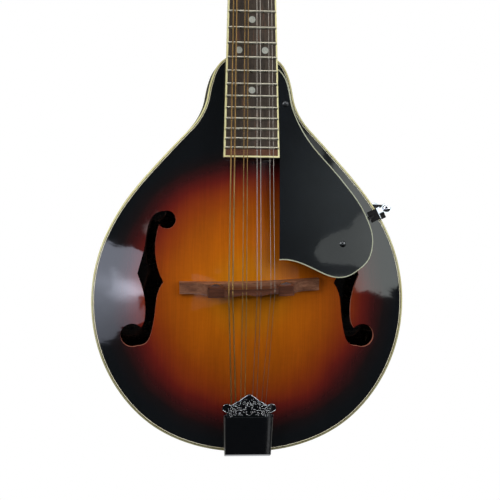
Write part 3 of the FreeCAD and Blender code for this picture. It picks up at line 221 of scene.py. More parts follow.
def spruce_top(name):
    """Book-matched spruce under the sunburst; unfinished wood on the f-holes' walls, and inside, wood
    darkened with painted shade.
    """
    g = Graph(name)
    x, y, z = g.axes(g.mm)
    sway = g.maths("MULTIPLY", g.maths("SUBTRACT", g.noise(g.mm, 60, 1.0), 0.5), 5.0)
    across = g.maths("ADD", g.maths("ABSOLUTE", x), sway)
    along = g.join(across, y, z)
    rings = g.noise(g.scale(along, (1.0, 0.2, 0.014)), 1.15, 3.0, 0.62)
    fine = g.noise(g.scale(along, (1.0, 0.3, 0.03)), 0.42, 2.0, 0.6)
    silk = g.noise(g.scale(along, (0.35, 0.3, 1.0)), 2.2, 2.0, 0.5)
    cloud = g.noise(g.scale(along, (1.0, 1.0, 0.25)), 11.0, 2.0, 0.5)
    light = g.maths("ADD", g.step(rings, 0.34, 0.68, -0.075, 0.07), g.step(fine, 0.3, 0.7, -0.03, 0.03))
    light = g.maths("ADD", light, g.step(cloud, 0.3, 0.7, -0.045, 0.045))
    light = g.maths("ADD", light, g.step(silk, 0.35, 0.65, -0.018, 0.018))
    seam = g.step(x, -0.35, 0.35, 0.02, -0.025)
    light = g.maths("ADD", g.maths("ADD", light, seam), 1.0)
    tint, away = burst(g)
    finished = g.shade(tint, light)

    out = g.axes(g.facing)[1]
    outside = g.step(out, -0.62, -0.42, 1.0, 0.0)
    inside = g.step(out, 0.3, 0.6)
    wall = g.mix(g.noise(g.mm, 1.4, 3.0), srgb(172, 112, 92), srgb(128, 74, 58))
    # painted shade: the inner face is coloured far darker than the unfinished wood of the tone bars
    shaded_inside_wood = g.mix(rings, srgb(52, 36, 22), srgb(30, 20, 12))
    raw = g.mix(inside, wall, shaded_inside_wood)
    g.set(base_color=g.mix(outside, raw, finished), roughness=0.6, specular_ior_level=0.04)
    coat = g.maths("MULTIPLY", outside, g.step(away, 58, 90, 0.10, 1.0))
    lacquer(g, rings, 0.012, coat=coat)
    return g.material


def flamed_maple(name, grain, flames, tint_of, coat=1.0, roughness=0.04):
    """Maple with curly figure. grain and flames stretch the noise along and across the wood."""
    g = Graph(name)
    fibre = g.noise(g.scale(g.mm, grain), 0.7, 3.0, 0.6)
    curl = g.noise(g.scale(g.mm, flames), 4.2, 2.0, 0.5, 0.4)
    light = g.maths("ADD", g.step(fibre, 0.3, 0.7, 0.93, 1.07), g.step(curl, 0.38, 0.62, -0.14, 0.14))
    tint = tint_of(g)
    g.set(base_color=g.shade(tint, light), roughness=0.6, specular_ior_level=0.04)
    lacquer(g, fibre, 0.006, coat=coat, roughness=roughness)
    return g.material


def back_tint(g):
    """The sunburst on the outside of the back; on its inside, unfinished maple darkened with painted shade.
    """
    tint = burst(g)[0]
    out = g.axes(g.facing)[1]
    # painted shade: the back's inner face is coloured far darker than unfinished maple
    shaded_inside_wood = g.mix(g.noise(g.mm, 3.0), srgb(44, 32, 21), srgb(26, 18, 11))
    return g.mix(g.step(out, -0.5, -0.2), shaded_inside_wood, tint)


def rib_tint(g):
    """Black at the plates, opening to a dark red-brown half-way; the same black at the neck."""
    _, y, z = g.axes(g.mm)
    uneven = g.maths("ADD", y, g.maths("MULTIPLY", g.noise(g.mm, 30, 1.0), 3.0))
    middle = g.step(g.maths("ABSOLUTE", uneven), 4, 17, 1, 0)
    middle = g.maths("MULTIPLY", middle, g.step(z, 194, 274, 1.0, 0.0))
    return g.mix(middle, srgb(9, 9, 10), srgb(70, 22, 12))


def neck_tint(g):
    """Dark tobacco stain that fades a little lighter in the middle of the neck."""
    z = g.axes(g.mm)[2]
    middle = g.maths("MULTIPLY", g.step(z, 312, 344), g.step(z, 414, 464, 1.0, 0.0))
    return g.mix(middle, srgb(20, 11, 9), srgb(82, 33, 15))


def bare_wood(name, light, dark):
    """Unfinished wood inside the body, its grain along the neck."""
    g = Graph(name)
    fibre = g.noise(g.scale(g.mm, (1.0, 1.0, 0.05)), 0.8, 4.0, 0.6)
    pores = g.noise(g.scale(g.mm, (3.0, 3.0, 0.15)), 1.0, 2.0, 0.5)
    tint = g.mix(g.step(fibre, 0.35, 0.65), srgb(*dark), srgb(*light))
    g.set(base_color=g.shade(tint, g.step(pores, 0.3, 0.6, 0.85, 1.05)), roughness=0.7,
          normal=g.bump(fibre, 0.05))
    return g.material


def rosewood(name, dark, mid, red, grain, sheen, reddening=None):
    """Dark, open-pored wood with reddish streaks; oiled, not lacquered."""
    g = Graph(name)
    figure = g.noise(g.scale(g.mm, grain), 3.2, 4.0, 0.6, 0.35)
    fibre = g.noise(g.scale(g.mm, grain), 0.55, 3.0, 0.6)
    pores = g.noise(g.scale(g.mm, tuple(f * (1.0 if f >= 1 else 2.2) for f in grain)), 0.32, 2.0, 0.5)
    tint = g.mix(g.step(figure, 0.35, 0.7), srgb(*dark), srgb(*mid))
    streak = g.step(figure, 0.56, 0.75, 0.0, 0.7)
    if reddening is not None:
        streak = g.maths("ADD", streak, reddening(g), clamp=True)
    tint = g.mix(streak, tint, srgb(*red))
    light = g.maths("MULTIPLY", g.step(fibre, 0.3, 0.7, 0.8, 1.2), g.step(pores, 0.3, 0.42, 0.45, 1.0))
    g.set(base_color=g.shade(tint, light), roughness=g.step(fibre, 0.3, 0.7, sheen + 0.08, sheen - 0.05),
          normal=g.bump(pores, 0.06), specular_ior_level=0.2)
    return g.material


def last_space(g):
    """The end of the fingerboard, past the last fret, is a redder piece of the wood."""
    return g.step(g.axes(g.mm)[2], RED_END_Z - 0.5, RED_END_Z + 0.5, 0.8, 0.0)


def ivory(name, colour=(206, 200, 150), shade_below=None):
    """Cream plastic with faint streaks. Its last argument, a (low z, high z), is where painted shade darkens
    it downward.
    """
    g = Graph(name)
    streak = g.noise(g.scale(g.mm, (0.8, 1.0, 0.12)), 1.6, 3.0, 0.6)
    stain = g.noise(g.mm, 14.0, 3.0, 0.6)
    aged = tuple(c * f for c, f in zip(colour, (0.93, 0.88, 0.76)))
    tint = g.mix(g.step(stain, 0.4, 0.75, 0.0, 0.5), srgb(*colour), srgb(*aged))
    light = g.step(streak, 0.3, 0.7, 0.95, 1.04)
    # painted shade: darker downward between the given heights, to about a third of its colour at the low end
    if shade_below is not None:
        light = g.maths("MULTIPLY", light, g.step(g.axes(g.mm)[2], *shade_below, 0.32, 1.0))
    g.set(base_color=g.shade(tint, light), roughness=g.step(stain, 0.3, 0.7, 0.35, 0.49),
          specular_ior_level=0.15)
    lacquer(g, streak, 0.008, coat=0.25, roughness=0.1)
    return g.material


def black_plastic(name, colour=(9, 11, 14), gloss=0.16):
    """Polished black with very fine rubbing marks."""
    g = Graph(name)
    rub = g.noise(g.scale(g.mm, (0.5, 1.0, 1.4)), 2.0, 5.0, 0.7)
    cloud = g.noise(g.mm, 16.0, 2.0, 0.5)
    tint = g.mix(g.step(cloud, 0.35, 0.7), srgb(*colour), srgb(*(c * 1.25 for c in colour)))
    g.set(base_color=tint, roughness=g.step(rub, 0.35, 0.75, gloss, gloss + 0.14), specular_ior_level=0.1)
    lacquer(g, coat=0.9, roughness=0.03)
    return g.material


def metal(name, colour, roughness, brush=None, tarnish=0.25):
    """Plated metal: smudges in its polish, and fine brushing along one way where given."""
    g = Graph(name)
    smudge = g.noise(g.mm, 4.5, 4.0, 0.6)
    dull = tuple(c * 0.72 for c in colour)
    tint = g.mix(g.step(smudge, 0.45, 0.8, 0.0, tarnish), srgb(*colour), srgb(*dull))
    scratch = g.noise(g.scale(g.mm, brush or (1, 1, 1)), 0.5 if brush else 1.2, 3.0, 0.6)
    g.set(base_color=tint, metallic=1.0,
          roughness=g.step(smudge, 0.3, 0.75, roughness * 0.8, roughness * 1.5),
          normal=g.bump(scratch, 0.004 if brush else 0.001))
    return g.material


def wound_string(name, colour, pitch):
    """Wrap wire round a core: fine turns across the string."""
    g = Graph(name)
    z = g.axes(g.mm)[2]
    turns = g.maths("SINE", g.maths("MULTIPLY", z, 2 * math.pi / pitch))
    wear_and_sheen = g.noise(g.scale(g.mm, (1, 1, 0.15)), 3.0, 3.0, 0.6)
    tint = g.mix(g.step(wear_and_sheen, 0.4, 0.75, 0.0, 0.6), srgb(*colour), srgb(*(c * 0.7 for c in colour)))
    g.set(base_color=tint, metallic=1.0, roughness=0.3,
          normal=g.bump(g.maths("MULTIPLY_ADD", turns, 0.5, 0.5), 0.05))
    return g.material


def pearl(name):
    """Grey shell with a slow swirl."""
    g = Graph(name)
    swirl = g.noise(g.mm, 2.4, 4.0, 0.65, 1.6)
    fine = g.noise(g.mm, 0.7, 2.0, 0.5, 0.8)
    tint = g.mix(g.step(swirl, 0.32, 0.66), srgb(136, 139, 132), srgb(158, 158, 148))
    tint = g.mix(g.step(fine, 0.5, 0.75, 0.0, 0.3), tint, srgb(148, 160, 158))
    g.set(base_color=tint, roughness=g.step(swirl, 0.3, 0.7, 0.25, 0.4), specular_ior_level=0.2)
    lacquer(g, swirl, 0.01, coat=0.3, roughness=0.08)
    return g.material


def tuner_key(name):
    """A nickel shaft and worm, with a pearly button at its outer end."""
    g = Graph(name)
    out = g.step(g.maths("ABSOLUTE", g.axes(g.mm)[0]), BUTTON_INSIDE - 0.05, BUTTON_INSIDE + 0.05)
    swirl = g.noise(g.mm, 2.6, 4.0, 0.65, 1.5)
    button = g.mix(g.step(swirl, 0.32, 0.66), srgb(150, 148, 140), srgb(222, 219, 205))
    smudge = g.noise(g.mm, 3.0, 3.0, 0.6)
    plated = g.mix(g.step(smudge, 0.45, 0.8, 0, 0.4), srgb(205, 203, 196), srgb(150, 148, 142))
    g.set(base_color=g.mix(out, plated, button), metallic=g.maths("SUBTRACT", 1.0, out),
          roughness=g.step(smudge, 0.3, 0.7, 0.14, 0.26), coat_weight=g.maths("MULTIPLY", out, 0.6),
          coat_roughness=0.05)
    return g.material


CLAMP_TURN = math.radians(27.5)    # the way out of the rim at the clamp, from +X towards +Z
CLAMP_AT = (94.5, 183.1)           # mm, x and z where the clamp's hooks lie on the binding


def polished_clamp(name):
    """Chrome hooks and rod, with the black rubber pad on the rim, and a stretch of the chrome just outside
    it painted black as shade.
    """
    g = Graph(name)
    x, _, z = g.axes(g.mm)
    right = g.maths("SUBTRACT", x, CLAMP_AT[0])
    up = g.maths("SUBTRACT", z, CLAMP_AT[1])
    out = g.maths("ADD", g.maths("MULTIPLY", right, math.cos(CLAMP_TURN)),
                  g.maths("MULTIPLY", up, math.sin(CLAMP_TURN)))
    along = g.maths("SUBTRACT", g.maths("MULTIPLY", up, math.cos(CLAMP_TURN)),
                    g.maths("MULTIPLY", right, math.sin(CLAMP_TURN)))
    pad = g.maths("MULTIPLY", g.step(out, 0.5, 0.7, 1, 0), g.step(out, -6.6, -6.5, 0, 1))
    # painted shade: the chrome just outside the rim is coloured black, matte and not metallic
    outside = g.maths("MULTIPLY", g.step(along, -1.1, -0.9, 1, 0), g.step(out, 1.0, 1.1, 0, 1))
    outside = g.maths("MULTIPLY", outside, g.step(out, 4.7, 4.8, 1, 0))
    black = g.maths("MAXIMUM", pad, outside)
    smudge = g.noise(g.mm, 3.0, 4.0, 0.6)
    chrome = g.mix(g.step(smudge, 0.4, 0.75, 0, 0.6), srgb(176, 178, 184), srgb(110, 114, 120))
    g.set(base_color=g.mix(black, chrome, srgb(12, 12, 13)), metallic=g.maths("SUBTRACT", 1.0, black),
          roughness=g.mix(black, (0.1, 0.1, 0.1, 1), (0.6, 0.6, 0.6, 1)), specular_ior_level=0.2)
    return g.material


COVER_HALF_AT_ZERO = 16.69   # mm, the cover's half-width where z is 0, and how it grows with z
COVER_FLARE = 0.0306
COVER_TOP_Z = 34.0           # mm, where the brighter satin sides end, just below the crest


def cover_metal(name):
    """Dark mirror chrome whose sides below the crest are a rougher satin, painted brighter as a highlight.
    """
    g = Graph(name)
    x, _, z = g.axes(g.mm)
    half = g.maths("MULTIPLY_ADD", z, COVER_FLARE, COVER_HALF_AT_ZERO)
    inset = g.maths("SUBTRACT", half, g.maths("ABSOLUTE", x))
    below_crest = g.step(z, COVER_TOP_Z, COVER_TOP_Z + 0.8, 1, 0)
    # painted highlight: the side edges below the crest are coloured brighter, and made rougher
    wear_and_sheen = g.maths("MULTIPLY", g.step(inset, 0.35, 0.75, 1, 0), below_crest)
    smudge = g.noise(g.mm, 4.5, 4.0, 0.6)
    mirror = g.mix(g.step(smudge, 0.45, 0.8, 0, 0.3), srgb(96, 100, 106), srgb(70, 73, 78))
    polish = g.step(smudge, 0.3, 0.75, 0.015, 0.03)
    g.set(base_color=g.mix(wear_and_sheen, mirror, srgb(126, 126, 122)), metallic=1.0,
          roughness=g.maths("ADD", polish, g.maths("MULTIPLY", wear_and_sheen, 0.4)),
          normal=g.bump(g.noise(g.mm, 1.2, 3.0, 0.6), 0.001))
    return g.material


CHROME = (206, 208, 214)
NICKEL = (200, 198, 188)
NICKEL_SILVER = (186, 181, 164)
WRAP_WIRE = (128, 102, 62)
PLAIN_WIRE = (142, 137, 130)
BODY_BINDING = (204, 199, 148)
BINDING_SHADE = (20, 200)     # mm, painted shade: the body's binding is darkest at the tail and unshaded at the neck

ACROSS = (0.05, 1.0, 1.0)    # grain that runs across the body, as the bridge's does

MAKERS = {
    "top_plate": spruce_top,
    "back_plate": lambda n: flamed_maple(n, (1, 1, 0.05), (0.06, 0.3, 1.0), back_tint),
    "bass_rib": lambda n: flamed_maple(n, (0.06, 1, 0.06), (1.0, 0.05, 1.0), rib_tint),
    "treble_rib": lambda n: flamed_maple(n, (0.06, 1, 0.06), (1.0, 0.05, 1.0), rib_tint),
    "neck": lambda n: flamed_maple(n, (1, 1, 0.05), (0.12, 0.12, 1.0), neck_tint, coat=0.8,
                                   roughness=0.12),
    "linings": lambda n: bare_wood(n, (150, 116, 78), (112, 82, 52)),
    "neck_block": lambda n: bare_wood(n, (120, 74, 48), (88, 52, 34)),
    "tail_block": lambda n: bare_wood(n, (120, 74, 48), (88, 52, 34)),
    "tone_bars": lambda n: bare_wood(n, (178, 144, 98), (142, 108, 68)),
    "fingerboard_riser": lambda n: black_plastic(n, (14, 13, 13), 0.3),
    "top_binding": lambda n: ivory(n, BODY_BINDING, shade_below=BINDING_SHADE),
    "back_binding": lambda n: ivory(n, BODY_BINDING, shade_below=BINDING_SHADE),
    "fingerboard_binding": lambda n: ivory(n, (208, 203, 156)),
    "pickguard_binding": lambda n: ivory(n, (152, 156, 136)),
    "heel_cap": ivory,
    "nut": lambda n: ivory(n, (232, 226, 206)),
    "fingerboard": lambda n: rosewood(n, (46, 39, 33), (64, 55, 47), (88, 54, 38), (1.0, 1.0, 0.045), 0.42,
                                      reddening=last_space),
    "bridge_base": lambda n: rosewood(n, (92, 58, 42), (126, 86, 64), (142, 100, 76), ACROSS, 0.4),
    "bridge_saddle": lambda n: rosewood(n, (62, 35, 25), (92, 55, 39), (106, 66, 48), ACROSS, 0.4),
    "frets": lambda n: metal(n, NICKEL_SILVER, 0.3, (0.05, 1, 1)),
    "position_dots": pearl,
    "side_dots": lambda n: black_plastic(n, (12, 12, 12)),
    "headstock_overlay": black_plastic,
    "truss_rod_cover": lambda n: black_plastic(n, (12, 12, 12)),
    "pickguard": black_plastic,
    "pickguard_pins": lambda n: metal(n, (70, 72, 74), 0.3),
    "pickguard_clamp": polished_clamp,
    "clamp_turnbuckle": lambda n: metal(n, CHROME, 0.1),
    "tailpiece_cover": cover_metal,
    "tailpiece_base": lambda n: metal(n, CHROME, 0.14),
    "tailpiece_screws": lambda n: metal(n, CHROME, 0.14),
    "strap_button": lambda n: metal(n, CHROME, 0.12),
    "thumbwheel_bass": lambda n: metal(n, CHROME, 0.16),
    "thumbwheel_treble": lambda n: metal(n, CHROME, 0.16),
    "bridge_posts": lambda n: metal(n, CHROME, 0.2),
    "truss_rod": lambda n: metal(n, (150, 148, 142), 0.3),
    "headstock_screws": lambda n: metal(n, NICKEL, 0.16),
    "tuner_plates": lambda n: metal(n, NICKEL, 0.16, (1, 1, 0.04)),
    "post_bushings": lambda n: metal(n, NICKEL, 0.14),
    "strings_g": lambda n: wound_string(n, WRAP_WIRE, 0.36),
    "strings_d": lambda n: wound_string(n, WRAP_WIRE, 0.32),
    "strings_a": lambda n: metal(n, PLAIN_WIRE, 0.36, (1, 1, 0.05)),
    "strings_e": lambda n: metal(n, PLAIN_WIRE, 0.36, (1, 1, 0.05)),
}


def dress(node, material):
    for slot in node.material_slots:
        slot.material = material


COVER_ROUNDING = 0.00035   # metres, the radius of the tailpiece cover's edges


def soften(node, radius):
    """Rounds a metal part's edges, which catch the light."""
    weld = node.modifiers.new("weld", "WELD")
    weld.merge_threshold = 1e-6
    bevel = node.modifiers.new("bevel", "BEVEL")
    bevel.width = radius
    bevel.segments = 2
    bevel.limit_method = "ANGLE"
    bevel.angle_limit = math.radians(40)
    bevel.harden_normals = True


def dress_nodes():
    for name, node in NODES.items():
        if name.startswith("tuner_key_"):
            dress(node, tuner_key(name))
        elif name.startswith("string_post_"):
            dress(node, metal(name, NICKEL, 0.14))
        elif name in MAKERS:
            dress(node, MAKERS[name](name))


def mesh_piece(name, body, build, material):
    """A new smooth mesh object made by build(bm), riding on a body and dressed in the material."""
    mesh = bpy.data.meshes.new(name)
    bm = bmesh.new()
    build(bm)
    bm.to_mesh(mesh)
    bm.free()
    piece = bpy.data.objects.new(name, mesh)
    bpy.context.scene.collection.objects.link(piece)
    mesh.materials.append(material)
    for face in mesh.polygons:
        face.use_smooth = True
    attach(piece, body)


PURFLING_BLACK = 0.45      # mm, each line's width from the binding inward: black, white, black
PURFLING_WHITE = 0.40


def purfling():
    """The black and white lines inside the binding, told apart by their distance from it."""
    source = NODES["top_purfling"].data
    rim = NODES["top_binding"].data
    tree = BVHTree.FromPolygons([v.co for v in rim.vertices], [tuple(p.vertices) for p in rim.polygons])
    lines = source.copy()
    lines.materials.clear()
    lines.materials.append(black_plastic("purfling_black", (10, 9, 8)))
    lines.materials.append(ivory("purfling_white", (214, 208, 180)))
    white_from = PURFLING_BLACK / 1000
    white_to = (PURFLING_BLACK + PURFLING_WHITE) / 1000
    for face in lines.polygons:
        gap = tree.find_nearest(face.center)[3]
        face.material_index = 1 if white_from < gap < white_to else 0
    piece = bpy.data.objects.new("purfling_lines", lines)
    bpy.context.scene.collection.objects.link(piece)
    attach(piece, "instrument")
    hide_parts("top_purfling")


TAIL_ANGLE = math.radians(9)            # the tailpiece leans this far off the Z axis
TAIL_AT = Vector((0, -0.0247, 0.0065))  # its origin, in the scene's metres
CREST_FACE = -8.1          # mm, the crest's front face in the tailpiece's frame
SUNK = 0.05                # mm, how far behind that face the mouldings start
PEARL = 0.34               # mm, a small pearl's half-length and half-width
FAN_Z = 38.6               # mm, the middle of the fan of seven leaves
FAN_FOOT = 0.7             # mm from there to the foot of each leaf
FAN_TIP = 3.0              # mm from there to the tip of each leaf but the middle one
FAN_MIDDLE_TIP = 3.8       # mm from there to the middle leaf's tip
FAN_STEP = 27              # degrees between two leaves
# (x, place along the tailpiece) of the bead's points, from the foot of the ear to the peak
CREST_BAND = [
    (16.2, 33.1), (19.1, 35.3), (19.3, 36.9), (18.3, 38.75), (16.5, 39.6), (14.7, 39.2), (13.0, 38.35),
    (8.9, 41.1), (7.0, 41.75), (6.05, 42.75), (3.75, 44.5), (1.5, 46.2), (0, 46.65),
]

# (x, place along the tailpiece, reach, first angle, turns) of each scroll on the treble half
CREST_SCROLLS = [
    (3.4, 34.9, 1.9, 1.9, 1.4), (7.5, 36.0, 1.8, 2.4, 1.3), (11.2, 35.6, 1.6, 2.7, 1.3),
    (4.0, 40.6, 1.4, 1.3, 1.3), (7.4, 39.6, 1.0, 2.0, 1.1), (13.8, 34.0, 1.5, 3.0, 1.2),
    (6.6, 32.3, 1.3, 3.4, 1.3), (10.4, 32.2, 1.4, 0.6, 1.2), (13.2, 31.2, 1.1, 2.2, 1.1),
]
# (x, place, x, place, width) from the foot to the tip of each leaf on the treble half
CREST_LEAVES = [
    (5.2, 37.7, 6.4, 40.9, 0.36), (8.9, 37.6, 11.8, 38.4, 0.38), (12.0, 37.1, 13.4, 37.4, 0.3),
    (5.1, 33.5, 6.0, 35.4, 0.38), (8.7, 33.4, 9.6, 34.6, 0.36), (12.2, 32.9, 12.8, 35.2, 0.34),
    (1.6, 36.2, 3.0, 37.8, 0.34), (14.9, 31.6, 15.5, 33.6, 0.3), (8.4, 31.0, 9.0, 33.0, 0.3),
]
# (x, place along the tailpiece) of each pearl on the treble half
CREST_PEARLS = [
    (1.9, 42.9), (3.1, 43.2), (5.7, 41.9), (9.2, 39.3), (10.4, 39.2),
    (13.4, 36.4), (15.1, 36.0), (1.5, 33.6), (4.8, 31.3), (11.9, 30.7),
]


def on_tail(x, z, y):
    """A point of the tailpiece's own frame, millimetres, in the scene."""
    x, y, z = x / 1000, y / 1000, z / 1000
    return TAIL_AT + Vector((x, y * math.cos(TAIL_ANGLE) - z * math.sin(TAIL_ANGLE),
                             y * math.sin(TAIL_ANGLE) + z * math.cos(TAIL_ANGLE)))


def smooth_path(points, steps):
    """A Catmull-Rom curve through the points."""
    ends = [points[0], *points, points[-1]]
    path = []
    for a, b, c, d in zip(ends, ends[1:], ends[2:], ends[3:]):
        for n in range(steps):
            t = n / steps
            path.append(tuple(0.5 * (2 * q + (r - p) * t + (2 * p - 5 * q + 4 * r - s) * t ** 2
                                     + (3 * q - p - 3 * r + s) * t ** 3)
                              for p, q, r, s in zip(a, b, c, d)))
    return [*path, tuple(points[-1])]


def moulding(bm, path, radius_at, height=1.0):
    """
    A raised rounded strip on the crest along a path. radius_at(t) gives its half-width, and height is how
    far it stands out, in half-widths.
    """
    sides = 7
    rings = []
    for n, (x, z) in enumerate(path):
        before, after = path[max(n - 1, 0)], path[min(n + 1, len(path) - 1)]
        dx, dz = after[0] - before[0], after[1] - before[1]
        length = math.hypot(dx, dz) or 1.0
        radius = max(radius_at(n / (len(path) - 1)), 0.03)
        ring = []
        for k in range(sides):
            turn = math.pi * k / (sides - 1)
            off, up = radius * math.cos(turn), radius * math.sin(turn) * height
            place = on_tail(x - dz / length * off, z + dx / length * off, CREST_FACE + SUNK - up)
            ring.append(bm.verts.new(place))
        rings.append(ring)
    for a, b in zip(rings, rings[1:]):
        for k in range(sides - 1):
            bm.faces.new((a[k], a[k + 1], b[k + 1], b[k]))
        bm.faces.new((a[-1], a[0], b[0], b[-1]))
    bm.faces.new(rings[0][::-1])
    bm.faces.new(rings[-1])


def scroll(x, z, reach, start, turns):
    """The points of a spiral that winds in to (x, z)."""
    points = []
    count = 22
    for n in range(count + 1):
        t = n / count
        angle = start + turns * math.tau * t
        out = reach * (1 - t) ** 0.8 + 0.25 * t
        points.append((x + out * math.cos(angle), z + out * math.sin(angle)))
    return points


def leaf_shape(width):
    return lambda t: width * math.sin(math.pi * min(1, 0.12 + 0.88 * t)) ** 0.7


def crest_relief(bm):
    """Generic cast ornament: a bead round the crest, mirrored scrolls, leaves and small pearls."""
    band = CREST_BAND + [(-x, z) for x, z in reversed(CREST_BAND[:-1])]
    moulding(bm, smooth_path(band, 4), lambda t: 0.24)
    for hand in (1, -1):
        for x, z, reach, start, turns in CREST_SCROLLS:
            points = [(hand * px, pz) for px, pz in scroll(x, z, reach, start, turns)]
            moulding(bm, points, lambda t: 0.1 + 0.14 * math.sin(math.pi * t), 1.4)
        for x0, z0, x1, z1, width in CREST_LEAVES:
            middle = ((x0 + x1) / 2 + 0.25, (z0 + z1) / 2 + 0.35)
            points = smooth_path([(hand * x0, z0), (hand * middle[0], middle[1]), (hand * x1, z1)], 7)
            moulding(bm, points, leaf_shape(width), 1.3)
        for x, z in CREST_PEARLS:
            moulding(bm, [(hand * x, z - PEARL + 2 * PEARL * n / 8) for n in range(9)],
                     lambda t: PEARL * math.sin(math.pi * t))
    for n in range(-3, 4):
        angle = math.radians(90 + n * FAN_STEP)
        tip = FAN_MIDDLE_TIP if n == 0 else FAN_TIP
        points = [(r * math.cos(angle), FAN_Z + r * math.sin(angle)) for r in
                  [FAN_FOOT + (tip - FAN_FOOT) * k / 8 for k in range(9)]]
        moulding(bm, points, leaf_shape(0.36), 1.3)
    moulding(bm, [(0, 37.2 + n / 8) for n in range(9)], lambda t: 0.5 * math.sin(math.pi * t))
    swag = [(-2.2, 32.4), (-1.1, 31.5), (0, 31.2), (1.1, 31.5), (2.2, 32.4)]
    moulding(bm, smooth_path(swag, 5), lambda t: 0.36 * math.sin(math.pi * (0.1 + 0.8 * t)))


def relief():
    """The raised ornament, one piece that moves with the tailpiece cover."""
    mesh_piece("crest_relief", "tail_cover", crest_relief,
               metal("crest_relief", (158, 160, 162), 0.05, tarnish=0.4))


# ---- the studio ----

FRONT_CARD_Y = -1.4        # metres, the plane of the reflected cards, behind the camera


def emitter(name, colour, strength, fade=None, hot=None):
    """
    A card's light. fade is (low z, high z, strength at the low end); hot is (extra strength, x, z, reach
    along x, reach along z), a brighter patch. Places are in the card's own frame, in metres.
    """
    g = Graph(name)
    glow = g.node("ShaderNodeEmission")
    glow.inputs["Color"].default_value = colour
    glow.inputs["Strength"].default_value = strength
    output = next(node for node in g.tree.nodes if node.type == "OUTPUT_MATERIAL")
    g.tree.links.new(glow.outputs[0], output.inputs["Surface"])
    x, _, z = g.axes(g.scale(g.mm, (0.001, 0.001, 0.001)))
    level = strength
    if fade:
        low, high, dim = fade
        level = g.step(z, low, high, dim, strength)
    if hot:
        extra, hot_x, hot_z, reach_x, reach_z = hot
        side = g.maths("DIVIDE", g.maths("SUBTRACT", x, hot_x), reach_x)
        rise = g.maths("DIVIDE", g.maths("SUBTRACT", z, hot_z), reach_z)
        away = g.length(side, rise)
        level = g.maths("ADD", level, g.step(away, 0.0, 1.0, extra, 0.0))
    if fade or hot:
        g.feed(glow.inputs["Strength"], level)
    return g.material


def card(name, outline, material):
    """A flat light card in the plane y = 0 of its own frame, which the camera doesn't see."""
    mesh = bpy.data.meshes.new(name)
    mesh.from_pydata([(x, 0, z) for x, z in outline], [], [tuple(range(len(outline)))])
    piece = bpy.data.objects.new(name, mesh)
    bpy.context.scene.collection.objects.link(piece)
    mesh.materials.append(material)
    piece.visible_camera = False
    return piece


# The cards' outlines, as (x, z) in metres
SOFTBOX_LEFT = [
    (-0.392, 0.203), (-0.28, 0.175), (-0.21, 0.140), (-0.14, 0.105), (-0.06, 0.085),
    (-0.06, -0.075), (-0.14, -0.078), (-0.22, -0.092), (-0.392, -0.117),
]
SOFTBOX_RIGHT = [
    (0.235, 0.300), (0.25, 0.325), (0.265, 0.335), (0.30, 0.347), (0.315, 0.37), (0.36, 0.39),
    (0.62, 0.39), (0.62, 0.03), (0.42, 0.01), (0.355, 0.08), (0.30, 0.16), (0.262, 0.21),
    (0.25, 0.258), (0.31, 0.262), (0.325, 0.272), (0.31, 0.280), (0.25, 0.283),
]
LAMP_BLUR = [(-0.255, 0.21), (-0.17, 0.21), (-0.17, 0.27), (-0.255, 0.27)]
FAR_WALL = [(0.10, 0.25), (0.75, 0.25), (0.75, 0.75), (0.10, 0.75)]
DOOR_GAP = [(0.1764, -1.1), (0.1800, -1.1), (0.1796, -0.5), (0.1760, -0.5)]
# A lit ground under and behind the instrument, as (x, y), which the tailpiece cover's lip reflects
GROUND_BEHIND = [(-1.0, -0.034), (1.0, -0.034), (1.0, 1.6), (-1.0, 1.6)]
GROUND_RISE = 0.0005       # metres above the instrument's lowest point

# (outline, colour, strength, fade, hot), in the order of emitter's arguments
CARDS = {
    "softbox_left": (SOFTBOX_LEFT, (0.78, 0.83, 1.0, 1), 4.6, (-0.10, 0.05, 2.1),
                     (8.0, -0.36, 0.035, 0.27, 0.06)),
    "softbox_right": (SOFTBOX_RIGHT, (0.93, 1.0, 0.98, 1), 1.35, (0.20, 0.30, 3.0),
                      (0.6, 0.37, 0.33, 0.10, 0.10)),
    "lamp_blur": (LAMP_BLUR, (0.95, 1.0, 1.0, 1), 0.0, None, (2.6, -0.212, 0.24, 0.04, 0.03)),
    "far_wall": (FAR_WALL, (0.85, 0.97, 1.0, 1), 0.12, None, (0.55, 0.32, 0.42, 0.17, 0.2)),
    "door_gap": (DOOR_GAP, (1.0, 0.95, 0.86, 1), 0.5, None, None),
}
WALL_GAP = 0.01            # the far wall stands this much further off, out of the right softbox's plane


def softboxes():
    """The softboxes and cards that show in the lacquer and the chrome, and the lit ground."""
    for name, (outline, *light) in CARDS.items():
        piece = card(name, outline, emitter(name, *light))
        piece.location = (0, FRONT_CARD_Y - (WALL_GAP if name == "far_wall" else 0), 0)
    ground = card("ground_behind", GROUND_BEHIND, emitter("ground_behind", (1, 1, 1, 1), 0.9))
    ground.rotation_euler = (-math.pi / 2, 0, 0)
    ground.location = (0, 0, CAD_BOX[0][2] + GROUND_RISE)
    ground.visible_diffuse = False


def area_light(name, place, aim, width, height, power):
    light = bpy.data.lights.new(name, "AREA")
    light.shape = "RECTANGLE"
    light.size = width
    light.size_y = height
    light.energy = power
    lamp = bpy.data.objects.new(name, light)
    lamp.location = place
    lamp.rotation_euler = (Vector(aim) - Vector(place)).to_track_quat("-Z", "Y").to_euler()
    lamp.visible_camera = False
    bpy.context.scene.collection.objects.link(lamp)


def around(azimuth, elevation, distance):
    """A place round LAMPS_AIM: azimuth 0 in front of the object, 90 on its treble side."""
    a, e = math.radians(azimuth), math.radians(elevation)
    return (distance * math.cos(e) * math.sin(a), -distance * math.cos(e) * math.cos(a),
            LAMPS_AIM[2] + distance * math.sin(e))


